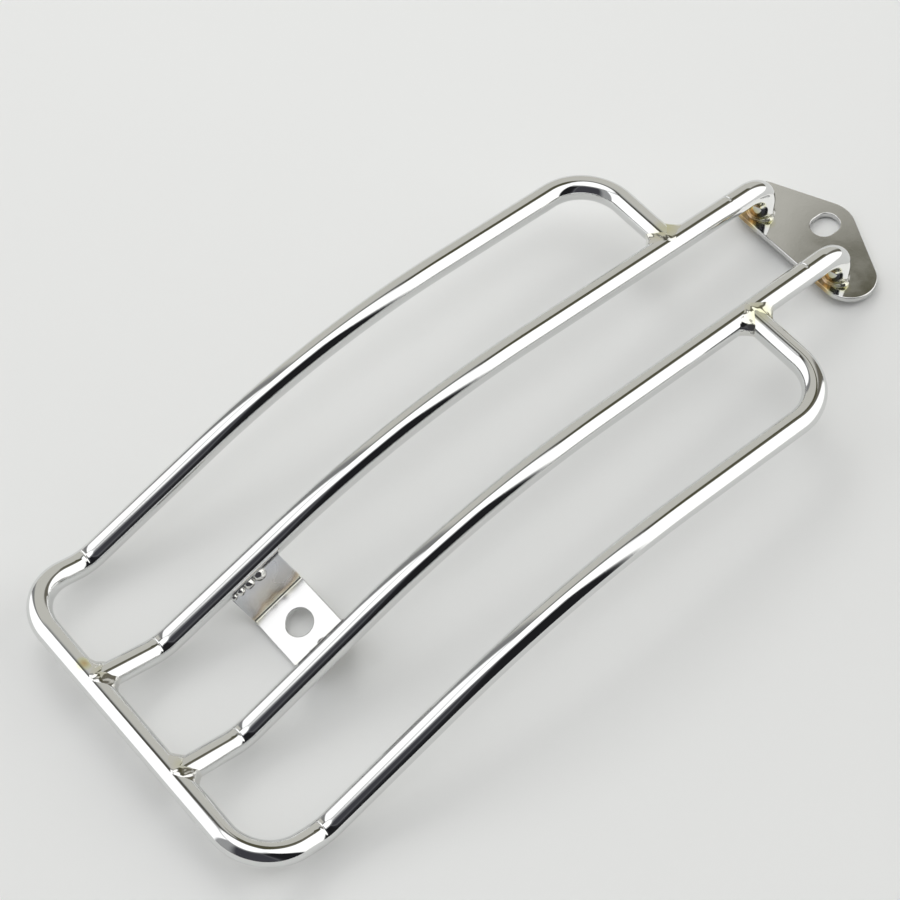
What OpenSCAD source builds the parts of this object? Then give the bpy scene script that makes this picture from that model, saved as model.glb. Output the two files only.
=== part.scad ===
// Solo luggage rack for the rear fender of a motorcycle.
// Bent and welded round steel rod, with a slotted plate under the front end and a folded strip
// bracket under the rear. X is across the rack, Y points to its front, Z is up, and it lies on
// the floor on its bracket and the nose of its plate. All sizes are in millimetres.

/* [Rod] */
// Diameter of every rod
rod_d = 10; // [8:0.5:12]
// How far a welded rod or flange end stops short of the other rod's axis
cope_land = 3; // [2:0.1:3.5]
// How much thinner the rod is drawn where it is bent
bend_draw = 0.04; // [0.02:0.02:0.3]

/* [Side profile of the rails] */
// Straight length from the hoop's front legs back to the start of the arch
front_run = 77.5; // [40:0.5:110]
// Radius of the long arch, at the rod's axis
arch_r = 303; // [200:1:400]
// Angle that the arch turns through
arch_angle = 22.3; // [14:0.1:30]
// Straight length from the arch to the corner of the kick-up
rear_run = 62.8; // [58:0.1:90]
// Angle of the kick-up before the tail
kick_angle = 34; // [24:0.5:45]
// Bend radius of the kick-up, at the rod's axis
kick_r = 18; // [12:0.5:30]
// Length of the tail, from the corner of the kick-up to the cross-bar's axis
tail_run = 30.5; // [27:0.5:45]

/* [Outer hoop] */
// Distance between the axes of the outer rails, at the front legs
hoop_w = 142.6; // [120:0.2:170]
// Angle that each outer rail spreads to the rear
hoop_splay = 0.44; // [0:0.01:1.5]
// Bend radius of the front corners, at the rod's axis
front_corner_r = 21; // [14:0.5:30]
// Bend radius of the rear corners, at the rod's axis
rear_corner_r = 20; // [14:0.5:24]

/* [Inner rails] */
// Distance between the axes of the inner rails, at the hoop's front legs
inner_w = 44.3; // [34:0.1:60]
// Angle that each inner rail spreads to the rear
inner_splay = 0.56; // [0:0.01:1.2]
// Distance from the hoop's front legs forward to the axis of the down-turned legs
leg_reach = 52; // [35:0.5:70]
// Bend radius at the top of the down-turned legs, at the rod's axis
leg_r = 11.5; // [8:0.5:13]
// Height of the rails' axis over the top of the front plate
leg_h = 17.5; // [16:0.1:30]

/* [Front plate] */
// Thickness of the front plate
plate_t = 2.5; // [2:0.1:4]
// Distance from the legs' axis back to the plate's rear edge
plate_back = 8; // [6:0.5:11]
// Radius of the two lobes under the legs
lobe_r = 11.8; // [9:0.1:16]
// Distance of each lobe's centre outward from the leg's axis
lobe_out = 2.9; // [0:0.1:6]
// Radius of the nose
nose_r = 12.6; // [11.5:0.1:16]
// Distance from the plate's rear edge to the middle of the nose
nose_reach = 23.3; // [19:0.1:30]
// Width of the slot
slot_w = 10.4; // [6:0.1:12]
// Length of the slot, along the rack
slot_l = 13; // [12.5:0.5:18]

/* [Rear bracket] */
// Thickness of the folded strip
strip_t = 2.5; // [2:0.1:4]
// Width of the strip, along the rails
strip_w = 24.4; // [16:0.1:34]
// Depth of the bracket's floor under the rails' axis
bracket_h = 16; // [14:0.1:24]
// Distance along the rails from the corner of the kick-up to the middle of the strip
bracket_in = 43.4; // [36:0.1:46]
// Angle that each flange leans outward
flange_lean = 27; // [0:0.5:30]
// How far inside the rail's axis the inner face of a flange passes
flange_miss = 2.6; // [0:0.1:3.5]
// Inside radius of the two folds
fold_r = 1.5; // [1:0.1:3]
// Bore in the bracket's floor
bracket_bore = 11.2; // [6:0.1:14]

/* [Weld beads] */
// Length of a bead's leg in the corners between two rods
corner_leg = 3.6; // [2.6:0.1:4.5]
// Length of a bead's leg over the top of two rods, and under them
top_leg = 2.5; // [1.8:0.1:3]
// Rise of the bead over the top of two rods, and under them
top_rise = 1.1; // [0.6:0.1:1.8]
// Hollow of the bead in the corners between two rods
corner_hollow = 0.3; // [0:0.05:0.6]
// Length of the bead's leg around the foot of a down-turned leg
foot_leg = 2.9; // [1.6:0.1:3]
// Radius of the first lump of weld along a flange, at the strip's rear edge
lump_small = 1.5; // [1.2:0.1:2]
// Radius of the last lump, towards the front
lump_big = 3; // [2.2:0.1:3.2]
// Distance between two lumps, as a share of their two radii
lump_overlap = 0.94; // [0.7:0.02:0.98]
// Number of lumps along a flange
lumps = 4; // [2:1:5]

/* [Hidden] */
$fn = 96;
LEFT = -1;
RIGHT = 1;
rod_r = rod_d / 2;
// Reach of the plain rods that cut their outline into what is welded to them
cutter_l = 3 * rod_d;
// Length by which a bend starts inside the straight run beside it
bend_start = 0.1;
// Rings around a bead, straight steps across its face, and how deep the bead sinks into the
// rods before they cut it
bead_rings = 40;
bead_steps = 6;
bead_sink = 0.25;
bead_root = 1.5;
// Straight steps that make up each fold of the strip
fold_steps = 10;

// Slope of the rear run, down to the rear, and of the tail, up to the rear
rear_slope = arch_angle;
tail_slope = kick_angle - arch_angle;
// Length that the arch takes off the runs on either side of its corner
arch_tan = arch_r * tan(arch_angle / 2);

// Corners of the side profile as [y, z]; the front run lies along Y, at the height of zero
rear_along = [cos(rear_slope), sin(rear_slope)];
tail_along = [cos(tail_slope), -sin(tail_slope)];
leg_corner = [leg_reach, 0];
arch_corner = [-(front_run + arch_tan), 0];
kick_corner = arch_corner - (arch_tan + rear_run) * rear_along;
tail_end = kick_corner - tail_run * tail_along;

// Places on a rail's axis, where the rail spreads to the rear from its half spacing
function on_hoop(p, side) = [side * (hoop_w / 2 - p[0] * tan(hoop_splay)), p[0], p[1]];
function on_inner(p, side) = [side * (inner_w / 2 - p[0] * tan(inner_splay)), p[0], p[1]];

// Front plate, in the same frame
plate_top = -leg_h;
leg_foot = on_inner([leg_reach, plate_top], RIGHT);
plate_rear = leg_reach - plate_back;
lobe_mid = [leg_foot[0] + lobe_out, plate_rear + lobe_r];
nose_mid = [0, plate_rear + nose_reach];
// Outward direction of the straight edge that touches a lobe and the nose
lobe_to_nose = nose_mid - lobe_mid;
edge_angle = atan2(lobe_to_nose[1], lobe_to_nose[0]) - acos((lobe_r - nose_r) / norm(lobe_to_nose));
edge_out = [cos(edge_angle), sin(edge_angle)];

// Rear bracket: the strip's middle on the rails' axis, and the floor's middle under it
strip_mid = kick_corner + bracket_in * rear_along;
strip_down = [rear_along[1], -rear_along[0]];
floor_mid = strip_mid + bracket_h * strip_down;
rail_at_strip = on_inner(strip_mid, RIGHT)[0];
fold_turn = 90 - flange_lean;
fold_tan = fold_r * tan(fold_turn / 2);
fold_x = rail_at_strip - bracket_h * tan(flange_lean) - flange_miss / cos(flange_lean);
floor_half = fold_x - fold_tan;
flange_to_axis = (rail_at_strip - fold_x) * sin(flange_lean) + bracket_h * cos(flange_lean);
flange_l = flange_to_axis - cope_land - fold_tan;

// The rack lies on the bracket's low rear edge and on the nose of the plate
nose_foot = [nose_mid[1] + nose_r, plate_top - plate_t];
strip_foot = floor_mid + strip_t * strip_down - strip_w / 2 * rear_along;
rest_tilt = atan2(nose_foot[1] - strip_foot[1], nose_foot[0] - strip_foot[0]);
function rested(p) = [p[0] * cos(rest_tilt) + p[1] * sin(rest_tilt),
    p[1] * cos(rest_tilt) - p[0] * sin(rest_tilt)];
front_end = rested([nose_foot[0], plate_top])[0];
rear_end = rested(tail_end)[0] - rod_r;
floor_z = rested(nose_foot)[1];

// Geometry of a bent rod: its corners are points, and a bend takes a setback off each side
function unit(v) = v / norm(v);
function heading(c, i) = unit(c[i + 1] - c[i]);
function turn(c, i) = acos(heading(c, i - 1) * heading(c, i));
function inward(c, i) = unit(heading(c, i) - (heading(c, i) * heading(c, i - 1)) * heading(c, i - 1));
function setback(c, r, i) = r[i - 1] * tan(turn(c, i) / 2);
function inset(c, r, i) = (i == 0 || i == len(c) - 1) ? 0 : setback(c, r, i) - bend_start;

// Puts the rack on the floor, with its origin under the middle of its outline
module on_floor() {
    translate([0, -(front_end + rear_end) / 2, -floor_z])
        rotate([-rest_tilt, 0, 0])
            children();
}

// Moves a shape to a point, with its X and Y axes along two given directions
module facing(at, x, y) {
    z = cross(x, y);
    multmatrix([[x[0], y[0], z[0], at[0]], [x[1], y[1], z[1], at[1]], [x[2], y[2], z[2], at[2]]])
        children();
}

// Plain rod from one point to another
module rod(a, b) {
    along = unit(b - a);
    aside = unit(cross(along, abs(along[2]) < 0.9 ? [0, 0, 1] : [0, 1, 0]));
    facing(a, aside, cross(along, aside)) cylinder(h = norm(b - a), r = rod_r);
}

// Bend of the rod at one corner of its route, drawn a little thinner than the straight runs
module bend(c, r, i) {
    radius = r[i - 1];
    start = c[i] - setback(c, r, i) * heading(c, i - 1);
    lead = atan(bend_start / radius);
    facing(start + radius * inward(c, i), -inward(c, i), heading(c, i - 1))
        rotate([0, 0, -lead]) rotate_extrude(angle = turn(c, i) + 2 * lead)
            translate([radius, 0]) circle(r = rod_r - bend_draw / 2);
}

// Rod bent along a route of corners, with one radius for each corner between its ends
module bent_rod(corners, radii) {
    last = len(corners) - 1;
    for (i = [0 : last - 1])
        rod(corners[i] + inset(corners, radii, i) * heading(corners, i),
            corners[i + 1] - inset(corners, radii, i + 1) * heading(corners, i));
    for (i = [1 : last - 1])
        bend(corners, radii, i);
}

// Plain pieces of the rods that others are welded to, which give those their coped ends
module front_run_cutter(side) {
    rod(on_inner([cutter_l, 0], side), on_inner([-cutter_l, 0], side));
}

module rear_run_cutter(side) {
    rod(on_inner(strip_mid - strip_w * rear_along, side), on_inner(strip_mid + strip_w * rear_along, side));
}

module crossbar_cutter(side) {
    middle = on_inner(tail_end, side);
    rod(middle - [cutter_l, 0, 0], middle + [cutter_l, 0, 0]);
}

// One rod: front leg, corner, outer rail, corner, cross-bar, and the same back to the front
module outer_hoop() {
    function leg_tip(side) = [side * (inner_w / 2 + cope_land), 0, 0];
    function rail(side) = [for (p = [[0, 0], arch_corner, kick_corner, tail_end]) on_hoop(p, side)];
    right = rail(RIGHT);
    corners = [leg_tip(LEFT), each rail(LEFT), right[3], right[2], right[1], right[0], leg_tip(RIGHT)];
    side_radii = [front_corner_r, arch_r, kick_r, rear_corner_r];
    radii = [each side_radii, side_radii[3], side_radii[2], side_radii[1], side_radii[0]];
    color("silver") on_floor() difference() {
        bent_rod(corners, radii);
        front_run_cutter(LEFT);
        front_run_cutter(RIGHT);
    }
}

// Rail that butts on the cross-bar, follows the hoop's profile and turns down to the plate
module inner_rail(side) {
    tip = tail_end + cope_land * tail_along;
    profile = [tip, kick_corner, arch_corner, leg_corner, [leg_reach, plate_top]];
    color("silver") on_floor() difference() {
        bent_rod([for (p = profile) on_inner(p, side)], [kick_r, arch_r, leg_r]);
        crossbar_cutter(side);
    }
}

module inner_rail_left() { inner_rail(LEFT); }
module inner_rail_right() { inner_rail(RIGHT); }

// Outline of the front plate: two lobes and a nose, joined by straight edges
module plate_outline() {
    half = [[lobe_mid[0], plate_rear], lobe_mid + lobe_r * edge_out, nose_mid + nose_r * edge_out];
    polygon([each half, for (i = [2 : -1 : 0]) [-half[i][0], half[i][1]]]);
    for (side = [LEFT, RIGHT])
        translate([side * lobe_mid[0], lobe_mid[1]]) circle(r = lobe_r);
    translate(nose_mid) circle(r = nose_r);
}

// Slot with round ends, along the rack
module slot_outline() {
    straight = slot_l - slot_w;
    translate(nose_mid) {
        square([slot_w, straight], center = true);
        for (end = [-1, 1])
            translate([0, end * straight / 2]) circle(d = slot_w);
    }
}

module front_plate() {
    color("silver") on_floor() translate([0, 0, plate_top - plate_t]) difference() {
        linear_extrude(plate_t) plate_outline();
        translate([0, 0, -plate_t]) linear_extrude(3 * plate_t) slot_outline();
    }
}

// Puts a shape on the floor of the bracket, with Y along the rails and Z to their axis
module at_bracket() {
    translate([0, floor_mid[0], floor_mid[1]]) rotate([rear_slope, 0, 0]) children();
}

// Section of the folded strip: floor, folds and flanges, with its inner side first
module strip_section() {
    fold = [floor_half, fold_r];
    function arc(r) = [for (a = [0 : fold_turn / fold_steps : fold_turn]) fold + r * [sin(a), -cos(a)]];
    tip = flange_l * [sin(flange_lean), cos(flange_lean)];
    inner = arc(fold_r);
    outer = arc(fold_r + strip_t);
    half = [each outer, outer[fold_steps] + tip, inner[fold_steps] + tip,
        for (i = [fold_steps : -1 : 0]) inner[i]];
    polygon([each half, for (i = [len(half) - 1 : -1 : 0]) [-half[i][0], half[i][1]]]);
}

// Strip folded up at both ends, which reach the inner rails
module rear_bracket() {
    color("silver") on_floor() difference() {
        at_bracket() difference() {
            translate([0, strip_w / 2, 0]) rotate([90, 0, 0]) linear_extrude(strip_w) strip_section();
            translate([0, 0, -2 * strip_t]) cylinder(h = 3 * strip_t, d = bracket_bore);
        }
        rear_run_cutter(LEFT);
        rear_run_cutter(RIGHT);
    }
}

// Half section of a bead where its ring stands at an angle around the butting rod, as [out, along]
// that rod: a root, and a face that is hollow in the corners and rises over the top of the rods
function bead_section(a) =
    let (top = pow(sin(a), 2),
        leg = corner_leg + (top_leg - corner_leg) * top,
        lean = atan2(top, abs(cos(a))),
        foot = leg * [cos(lean), -sin(lean)],
        shank = leg * [0, 1],
        out = [cos((90 - lean) / 2), sin((90 - lean) / 2)],
        rise = top_rise * top - corner_hollow * (1 - top))
    [-bead_root * out, for (i = [0 : bead_steps])
        let (u = i / bead_steps) (1 - u) * foot + u * shank + (4 * u * (1 - u) * rise - bead_sink) * out];

// Ring of weld around the end of a rod that butts on another, in a frame where the butting
// rod leaves along Z and the other one lies along X
module tee_bead() {
    sides = bead_steps + 2;
    function seam(a) = norm([rod_r * cos(a), cope_land * sin(a)]);
    function ring(a) = [for (p = bead_section(a))
        [(rod_r + p[0]) * cos(a), (rod_r + p[0]) * sin(a), seam(a) + p[1]]];
    function at(i, j) = (i % bead_rings) * sides + j % sides;
    polyhedron(
        [for (i = [0 : bead_rings - 1]) each ring(360 * i / bead_rings)],
        [for (i = [0 : bead_rings - 1], j = [0 : sides - 1])
            each [[at(i, j), at(i, j + 1), at(i + 1, j + 1)], [at(i, j), at(i + 1, j + 1), at(i + 1, j)]]]);
}

// Weld where a front leg of the hoop meets an inner rail
module hoop_weld(side) {
    joint = on_inner([0, 0], side);
    color("darkgray") on_floor() difference() {
        facing(joint, [0, side, 0], [0, 0, 1]) tee_bead();
        front_run_cutter(side);
        rod(joint, joint + [side * cutter_l, 0, 0]);
    }
}

module hoop_weld_left() { hoop_weld(LEFT); }
module hoop_weld_right() { hoop_weld(RIGHT); }

// Weld where an inner rail meets the cross-bar
module crossbar_weld(side) {
    joint = on_inner(tail_end, side);
    ahead = on_inner(kick_corner, side);
    along = unit(ahead - joint);
    aside = unit([1, 0, 0] - along[0] * along);
    color("darkgray") on_floor() difference() {
        facing(joint, aside, cross(along, aside)) tee_bead();
        crossbar_cutter(side);
        rod(joint, ahead);
    }
}

module crossbar_weld_left() { crossbar_weld(LEFT); }
module crossbar_weld_right() { crossbar_weld(RIGHT); }

// Weld around the foot of a down-turned leg
module plate_weld(side) {
    foot = [side * leg_foot[0], leg_foot[1], leg_foot[2]];
    color("darkgray") on_floor() translate(foot) rotate_extrude()
        polygon([[rod_r, 0], for (a = [0 : 90 / bead_steps : 90])
            [rod_r, 0] + foot_leg * (0.75 + 0.25 * abs(cos(2 * a))) * [cos(a), sin(a)]]);
}

module plate_weld_left() { plate_weld(LEFT); }
module plate_weld_right() { plate_weld(RIGHT); }

// Radius of one lump of weld, and its place along the strip
function lump_radius(i) = lump_small + (lump_big - lump_small) * i / (lumps - 1);
function lump_along(i) = i == 0 ? lump_radius(0) - strip_w / 2
    : lump_along(i - 1) + lump_overlap * (lump_radius(i - 1) + lump_radius(i));

// Lumps of weld where a flange of the bracket meets its inner rail
module bracket_weld(side) {
    meet = rod_r * sin(acos(flange_miss / rod_r));
    seam_x = rail_at_strip - flange_miss * cos(flange_lean) - meet * sin(flange_lean);
    seam_z = bracket_h + flange_miss * sin(flange_lean) - meet * cos(flange_lean);
    color("darkgray") on_floor() difference() {
        at_bracket() for (i = [0 : lumps - 1])
            translate([side * seam_x, lump_along(i), seam_z]) sphere(r = lump_radius(i));
        at_bracket() translate([0, strip_w, 0]) rotate([90, 0, 0]) linear_extrude(2 * strip_w) strip_section();
        rear_run_cutter(side);
    }
}

module bracket_weld_left() { bracket_weld(LEFT); }
module bracket_weld_right() { bracket_weld(RIGHT); }

outer_hoop();
inner_rail_left();
inner_rail_right();
front_plate();
rear_bracket();
hoop_weld_left();
hoop_weld_right();
crossbar_weld_left();
crossbar_weld_right();
plate_weld_left();
plate_weld_right();
bracket_weld_left();
bracket_weld_right();
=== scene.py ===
"""Looks of a chromed solo luggage rack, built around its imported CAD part.

The rods, the plate, the bracket and the weld beads are drawn again as finer meshes in the places
of their CAD nodes, with the small marks that bending and welding leave. Every surface has a plated
finish made of shader nodes, and the light is a bright room of pale and dark walls.

Sizes are in millimetres in the rack's own frame, where the rails' front run lies along Y at the
height of zero. RackPlan.to_row() takes that frame to the row frame, in metres.
"""

import logging
import math
from dataclasses import dataclass, field
from enum import Enum
from typing import Sequence, Union

import bmesh
import bpy
from mathutils import Matrix, Vector, geometry, noise

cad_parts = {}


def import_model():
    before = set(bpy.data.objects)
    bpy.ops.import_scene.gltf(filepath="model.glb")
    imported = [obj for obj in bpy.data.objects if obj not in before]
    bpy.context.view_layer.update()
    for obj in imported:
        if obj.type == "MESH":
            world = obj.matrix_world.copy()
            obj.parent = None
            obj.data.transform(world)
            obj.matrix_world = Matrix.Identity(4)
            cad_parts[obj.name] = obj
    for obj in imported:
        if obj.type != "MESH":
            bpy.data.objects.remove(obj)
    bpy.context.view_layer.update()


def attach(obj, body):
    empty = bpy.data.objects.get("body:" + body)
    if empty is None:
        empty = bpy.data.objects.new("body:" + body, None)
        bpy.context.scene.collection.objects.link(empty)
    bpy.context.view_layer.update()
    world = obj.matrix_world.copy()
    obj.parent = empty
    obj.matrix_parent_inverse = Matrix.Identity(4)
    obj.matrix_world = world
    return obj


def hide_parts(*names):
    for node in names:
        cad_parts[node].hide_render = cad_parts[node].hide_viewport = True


LOG = logging.getLogger("rack")
MM = 0.001
UP = Vector((0.0, 0.0, 1.0))

Place2D = tuple[float, float]
Colour = tuple[float, float, float]
VertRow = Sequence[bmesh.types.BMVert]
Value = Union[bpy.types.NodeSocket, float]
Tone = Union[bpy.types.NodeSocket, Colour]


class Side(Enum):
    """Left or right half of the rack, with the sign of its X."""

    LEFT = -1
    RIGHT = 1

    @property
    def label(self) -> str:
        """Ending that the CAD nodes of this side have."""
        return self.name.lower()


class Slot(Enum):
    """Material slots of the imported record."""

    ROD = "rod_chrome"
    PLATE = "plate_chrome"
    STRIP = "strip_chrome"
    WELD = "weld_chrome"


# Sizes


@dataclass(frozen=True)
class RackPlan:
    """Driving sizes of the rack, the same as in the part's source, in millimetres and degrees.

    Attributes:
        rod_r: Radius of all the rods.
        cope_land: How far a welded end stops short of the other rod's axis.
        front_run: Length from the hoop's front legs back to the arch.
        arch_r: Radius of the long arch, at the rod's axis.
        arch_angle: Angle that the arch turns through.
        rear_run: Length from the arch to the corner of the kick-up.
        kick_angle: Angle of the kick-up.
        kick_r: Bend radius of the kick-up, at the rod's axis.
        tail_run: Length from the corner of the kick-up to the cross-bar's axis.
        hoop_w: Distance between the outer rails at the front.
        hoop_splay: Angle by which each outer rail spreads to the rear.
        front_corner_r: Bend radius of the hoop's front corners.
        rear_corner_r: Bend radius of the hoop's rear corners.
        inner_w: Distance between the inner rails at the front.
        inner_splay: Angle by which each inner rail spreads to the rear.
        leg_reach: Distance from the hoop's front legs to the down-turned legs.
        leg_r: Bend radius of the down-turned legs.
        leg_h: Height of the rails' axis over the top of the plate.
        plate_t: Thickness of the plate.
        plate_back: Distance from the legs' axis back to the plate's rear edge.
        lobe_r: Radius of the plate's lobes.
        lobe_out: Distance of each lobe's centre outward from the leg's axis.
        nose_r: Radius of the plate's nose.
        nose_reach: Distance from the plate's rear edge to the nose's centre.
        slot_w: Width of the slot.
        slot_l: Length of the slot.
        strip_t: Thickness of the bracket's strip.
        strip_w: Width of the strip.
        bracket_h: Depth of the bracket's floor under the rails' axis.
        bracket_in: Distance from the kick-up's corner to the middle of the strip.
        flange_lean: Angle that each flange leans outward.
        flange_miss: How far inside the rail's axis the inner face of a flange passes.
        fold_r: Inside radius of the two folds.
        bracket_bore: Bore in the bracket's floor.
    """

    rod_r: float = 5.0
    cope_land: float = 3.0
    front_run: float = 77.5
    arch_r: float = 303.0
    arch_angle: float = 22.3
    rear_run: float = 62.8
    kick_angle: float = 34.0
    kick_r: float = 18.0
    tail_run: float = 30.5
    hoop_w: float = 142.6
    hoop_splay: float = 0.44
    front_corner_r: float = 21.0
    rear_corner_r: float = 20.0
    inner_w: float = 44.3
    inner_splay: float = 0.56
    leg_reach: float = 52.0
    leg_r: float = 11.5
    leg_h: float = 17.5
    plate_t: float = 2.5
    plate_back: float = 8.0
    lobe_r: float = 11.8
    lobe_out: float = 2.9
    nose_r: float = 12.6
    nose_reach: float = 23.3
    slot_w: float = 10.4
    slot_l: float = 13.0
    strip_t: float = 2.5
    strip_w: float = 24.4
    bracket_h: float = 16.0
    bracket_in: float = 43.4
    flange_lean: float = 27.0
    flange_miss: float = 2.6
    fold_r: float = 1.5
    bracket_bore: float = 11.2

    @property
    def rear_along(self) -> Vector:
        """Direction of the rear run towards the front, as (y, z)."""
        slope = math.radians(self.arch_angle)
        return Vector((math.cos(slope), math.sin(slope)))

    @property
    def tail_along(self) -> Vector:
        """Direction of the tail towards the front, as (y, z)."""
        slope = math.radians(self.kick_angle - self.arch_angle)
        return Vector((math.cos(slope), -math.sin(slope)))

    @property
    def strip_down(self) -> Vector:
        """Direction from the rails' axis square down to the bracket's floor, as (y, z)."""
        return Vector((self.rear_along.y, -self.rear_along.x))

    @property
    def leg_corner(self) -> Vector:
        """Corner where an inner rail turns down, as (y, z)."""
        return Vector((self.leg_reach, 0.0))

    @property
    def arch_corner(self) -> Vector:
        """Corner that the long arch rounds off, as (y, z)."""
        return Vector((-(self.front_run + self.arch_tan), 0.0))

    @property
    def arch_tan(self) -> float:
        """Length that the arch takes off the runs on either side of its corner."""
        return self.arch_r * math.tan(math.radians(self.arch_angle / 2))

    @property
    def kick_corner(self) -> Vector:
        """Corner of the kick-up before the tail, as (y, z)."""
        return self.arch_corner - (self.arch_tan + self.rear_run) * self.rear_along

    @property
    def tail_end(self) -> Vector:
        """Axis of the cross-bar, as (y, z)."""
        return self.kick_corner - self.tail_run * self.tail_along

    @property
    def plate_top(self) -> float:
        """Height of the top of the front plate."""
        return -self.leg_h

    @property
    def plate_rear(self) -> float:
        """Distance forward to the rear edge of the front plate."""
        return self.leg_reach - self.plate_back

    @property
    def strip_mid(self) -> Vector:
        """Middle of the bracket's strip, on the rails' axis, as (y, z)."""
        return self.kick_corner + self.bracket_in * self.rear_along

    @property
    def floor_mid(self) -> Vector:
        """Middle of the top of the bracket's floor, as (y, z)."""
        return self.strip_mid + self.bracket_h * self.strip_down

    @property
    def bracket_frame(self) -> Matrix:
        """Matrix from the bracket's own frame, where its floor is level, to the rack's frame."""
        slope = Matrix.Rotation(math.radians(self.arch_angle), 4, "X")
        return Matrix.Translation((0.0, self.floor_mid.x, self.floor_mid.y)) @ slope

    def on_hoop(self, place: Sequence[float], side: Side) -> Vector:
        """Point on the axis of an outer rail, for a place given as (y, z)."""
        x = self.hoop_w / 2 - place[0] * math.tan(math.radians(self.hoop_splay))
        return Vector((side.value * x, place[0], place[1]))

    def on_inner(self, place: Sequence[float], side: Side) -> Vector:
        """Point on the axis of an inner rail, for a place given as (y, z)."""
        x = self.inner_w / 2 - place[0] * math.tan(math.radians(self.inner_splay))
        return Vector((side.value * x, place[0], place[1]))

    def to_row(self) -> Matrix:
        """Matrix from the rack's frame to the row frame, where the rack rests on the floor.

        Returns:
            The matrix, which also takes millimetres to metres.
        """
        nose_tip = self.plate_rear + self.nose_reach + self.nose_r
        nose = Vector((nose_tip, self.plate_top - self.plate_t))
        foot = self.floor_mid + self.strip_t * self.strip_down - self.strip_w / 2 * self.rear_along
        tilt = math.atan2(nose.y - foot.y, nose.x - foot.x)
        turned = Matrix.Rotation(-tilt, 4, "X")

        def rested(place: Sequence[float]) -> Vector:
            """Place of a point (y, z) once the rack is tilted."""
            return turned @ Vector((0.0, place[0], place[1]))

        front = rested((nose.x, self.plate_top)).y
        rear = rested(self.tail_end).y - self.rod_r
        lift = Matrix.Translation((0.0, -(front + rear) / 2, -rested(nose).z))
        return Matrix.Scale(MM, 4) @ lift @ turned


@dataclass(frozen=True)
class HeatSpot:
    """Place where welding has tinted the metal around it.

    Attributes:
        centre: Middle of the place, in the rack's frame.
        reach: How far the tint spreads, in millimetres.
        peak: How warm the middle was, from 0 for none to 1 and more for blue-grey.
        slots: Slots of the pieces that it shows on.
    """

    centre: Vector
    reach: float
    peak: float
    slots: tuple[Slot, ...]


# Mesh helpers


# Fewest points of a bend, and steps of the curve between two points of a route
BEND_POINTS = 6
CURVE_STEPS = 64


def smooth_step(low: float, high: float, value: float) -> float:
    """Smooth rise from 0 at low to 1 at high."""
    share = min(1.0, max(0.0, (value - low) / (high - low)))
    return share * share * (3 - 2 * share)


def bell(offset: float, width: float) -> float:
    """Bell curve of height 1 that falls off over a width."""
    return math.exp(-((offset / width) ** 2))


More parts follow.
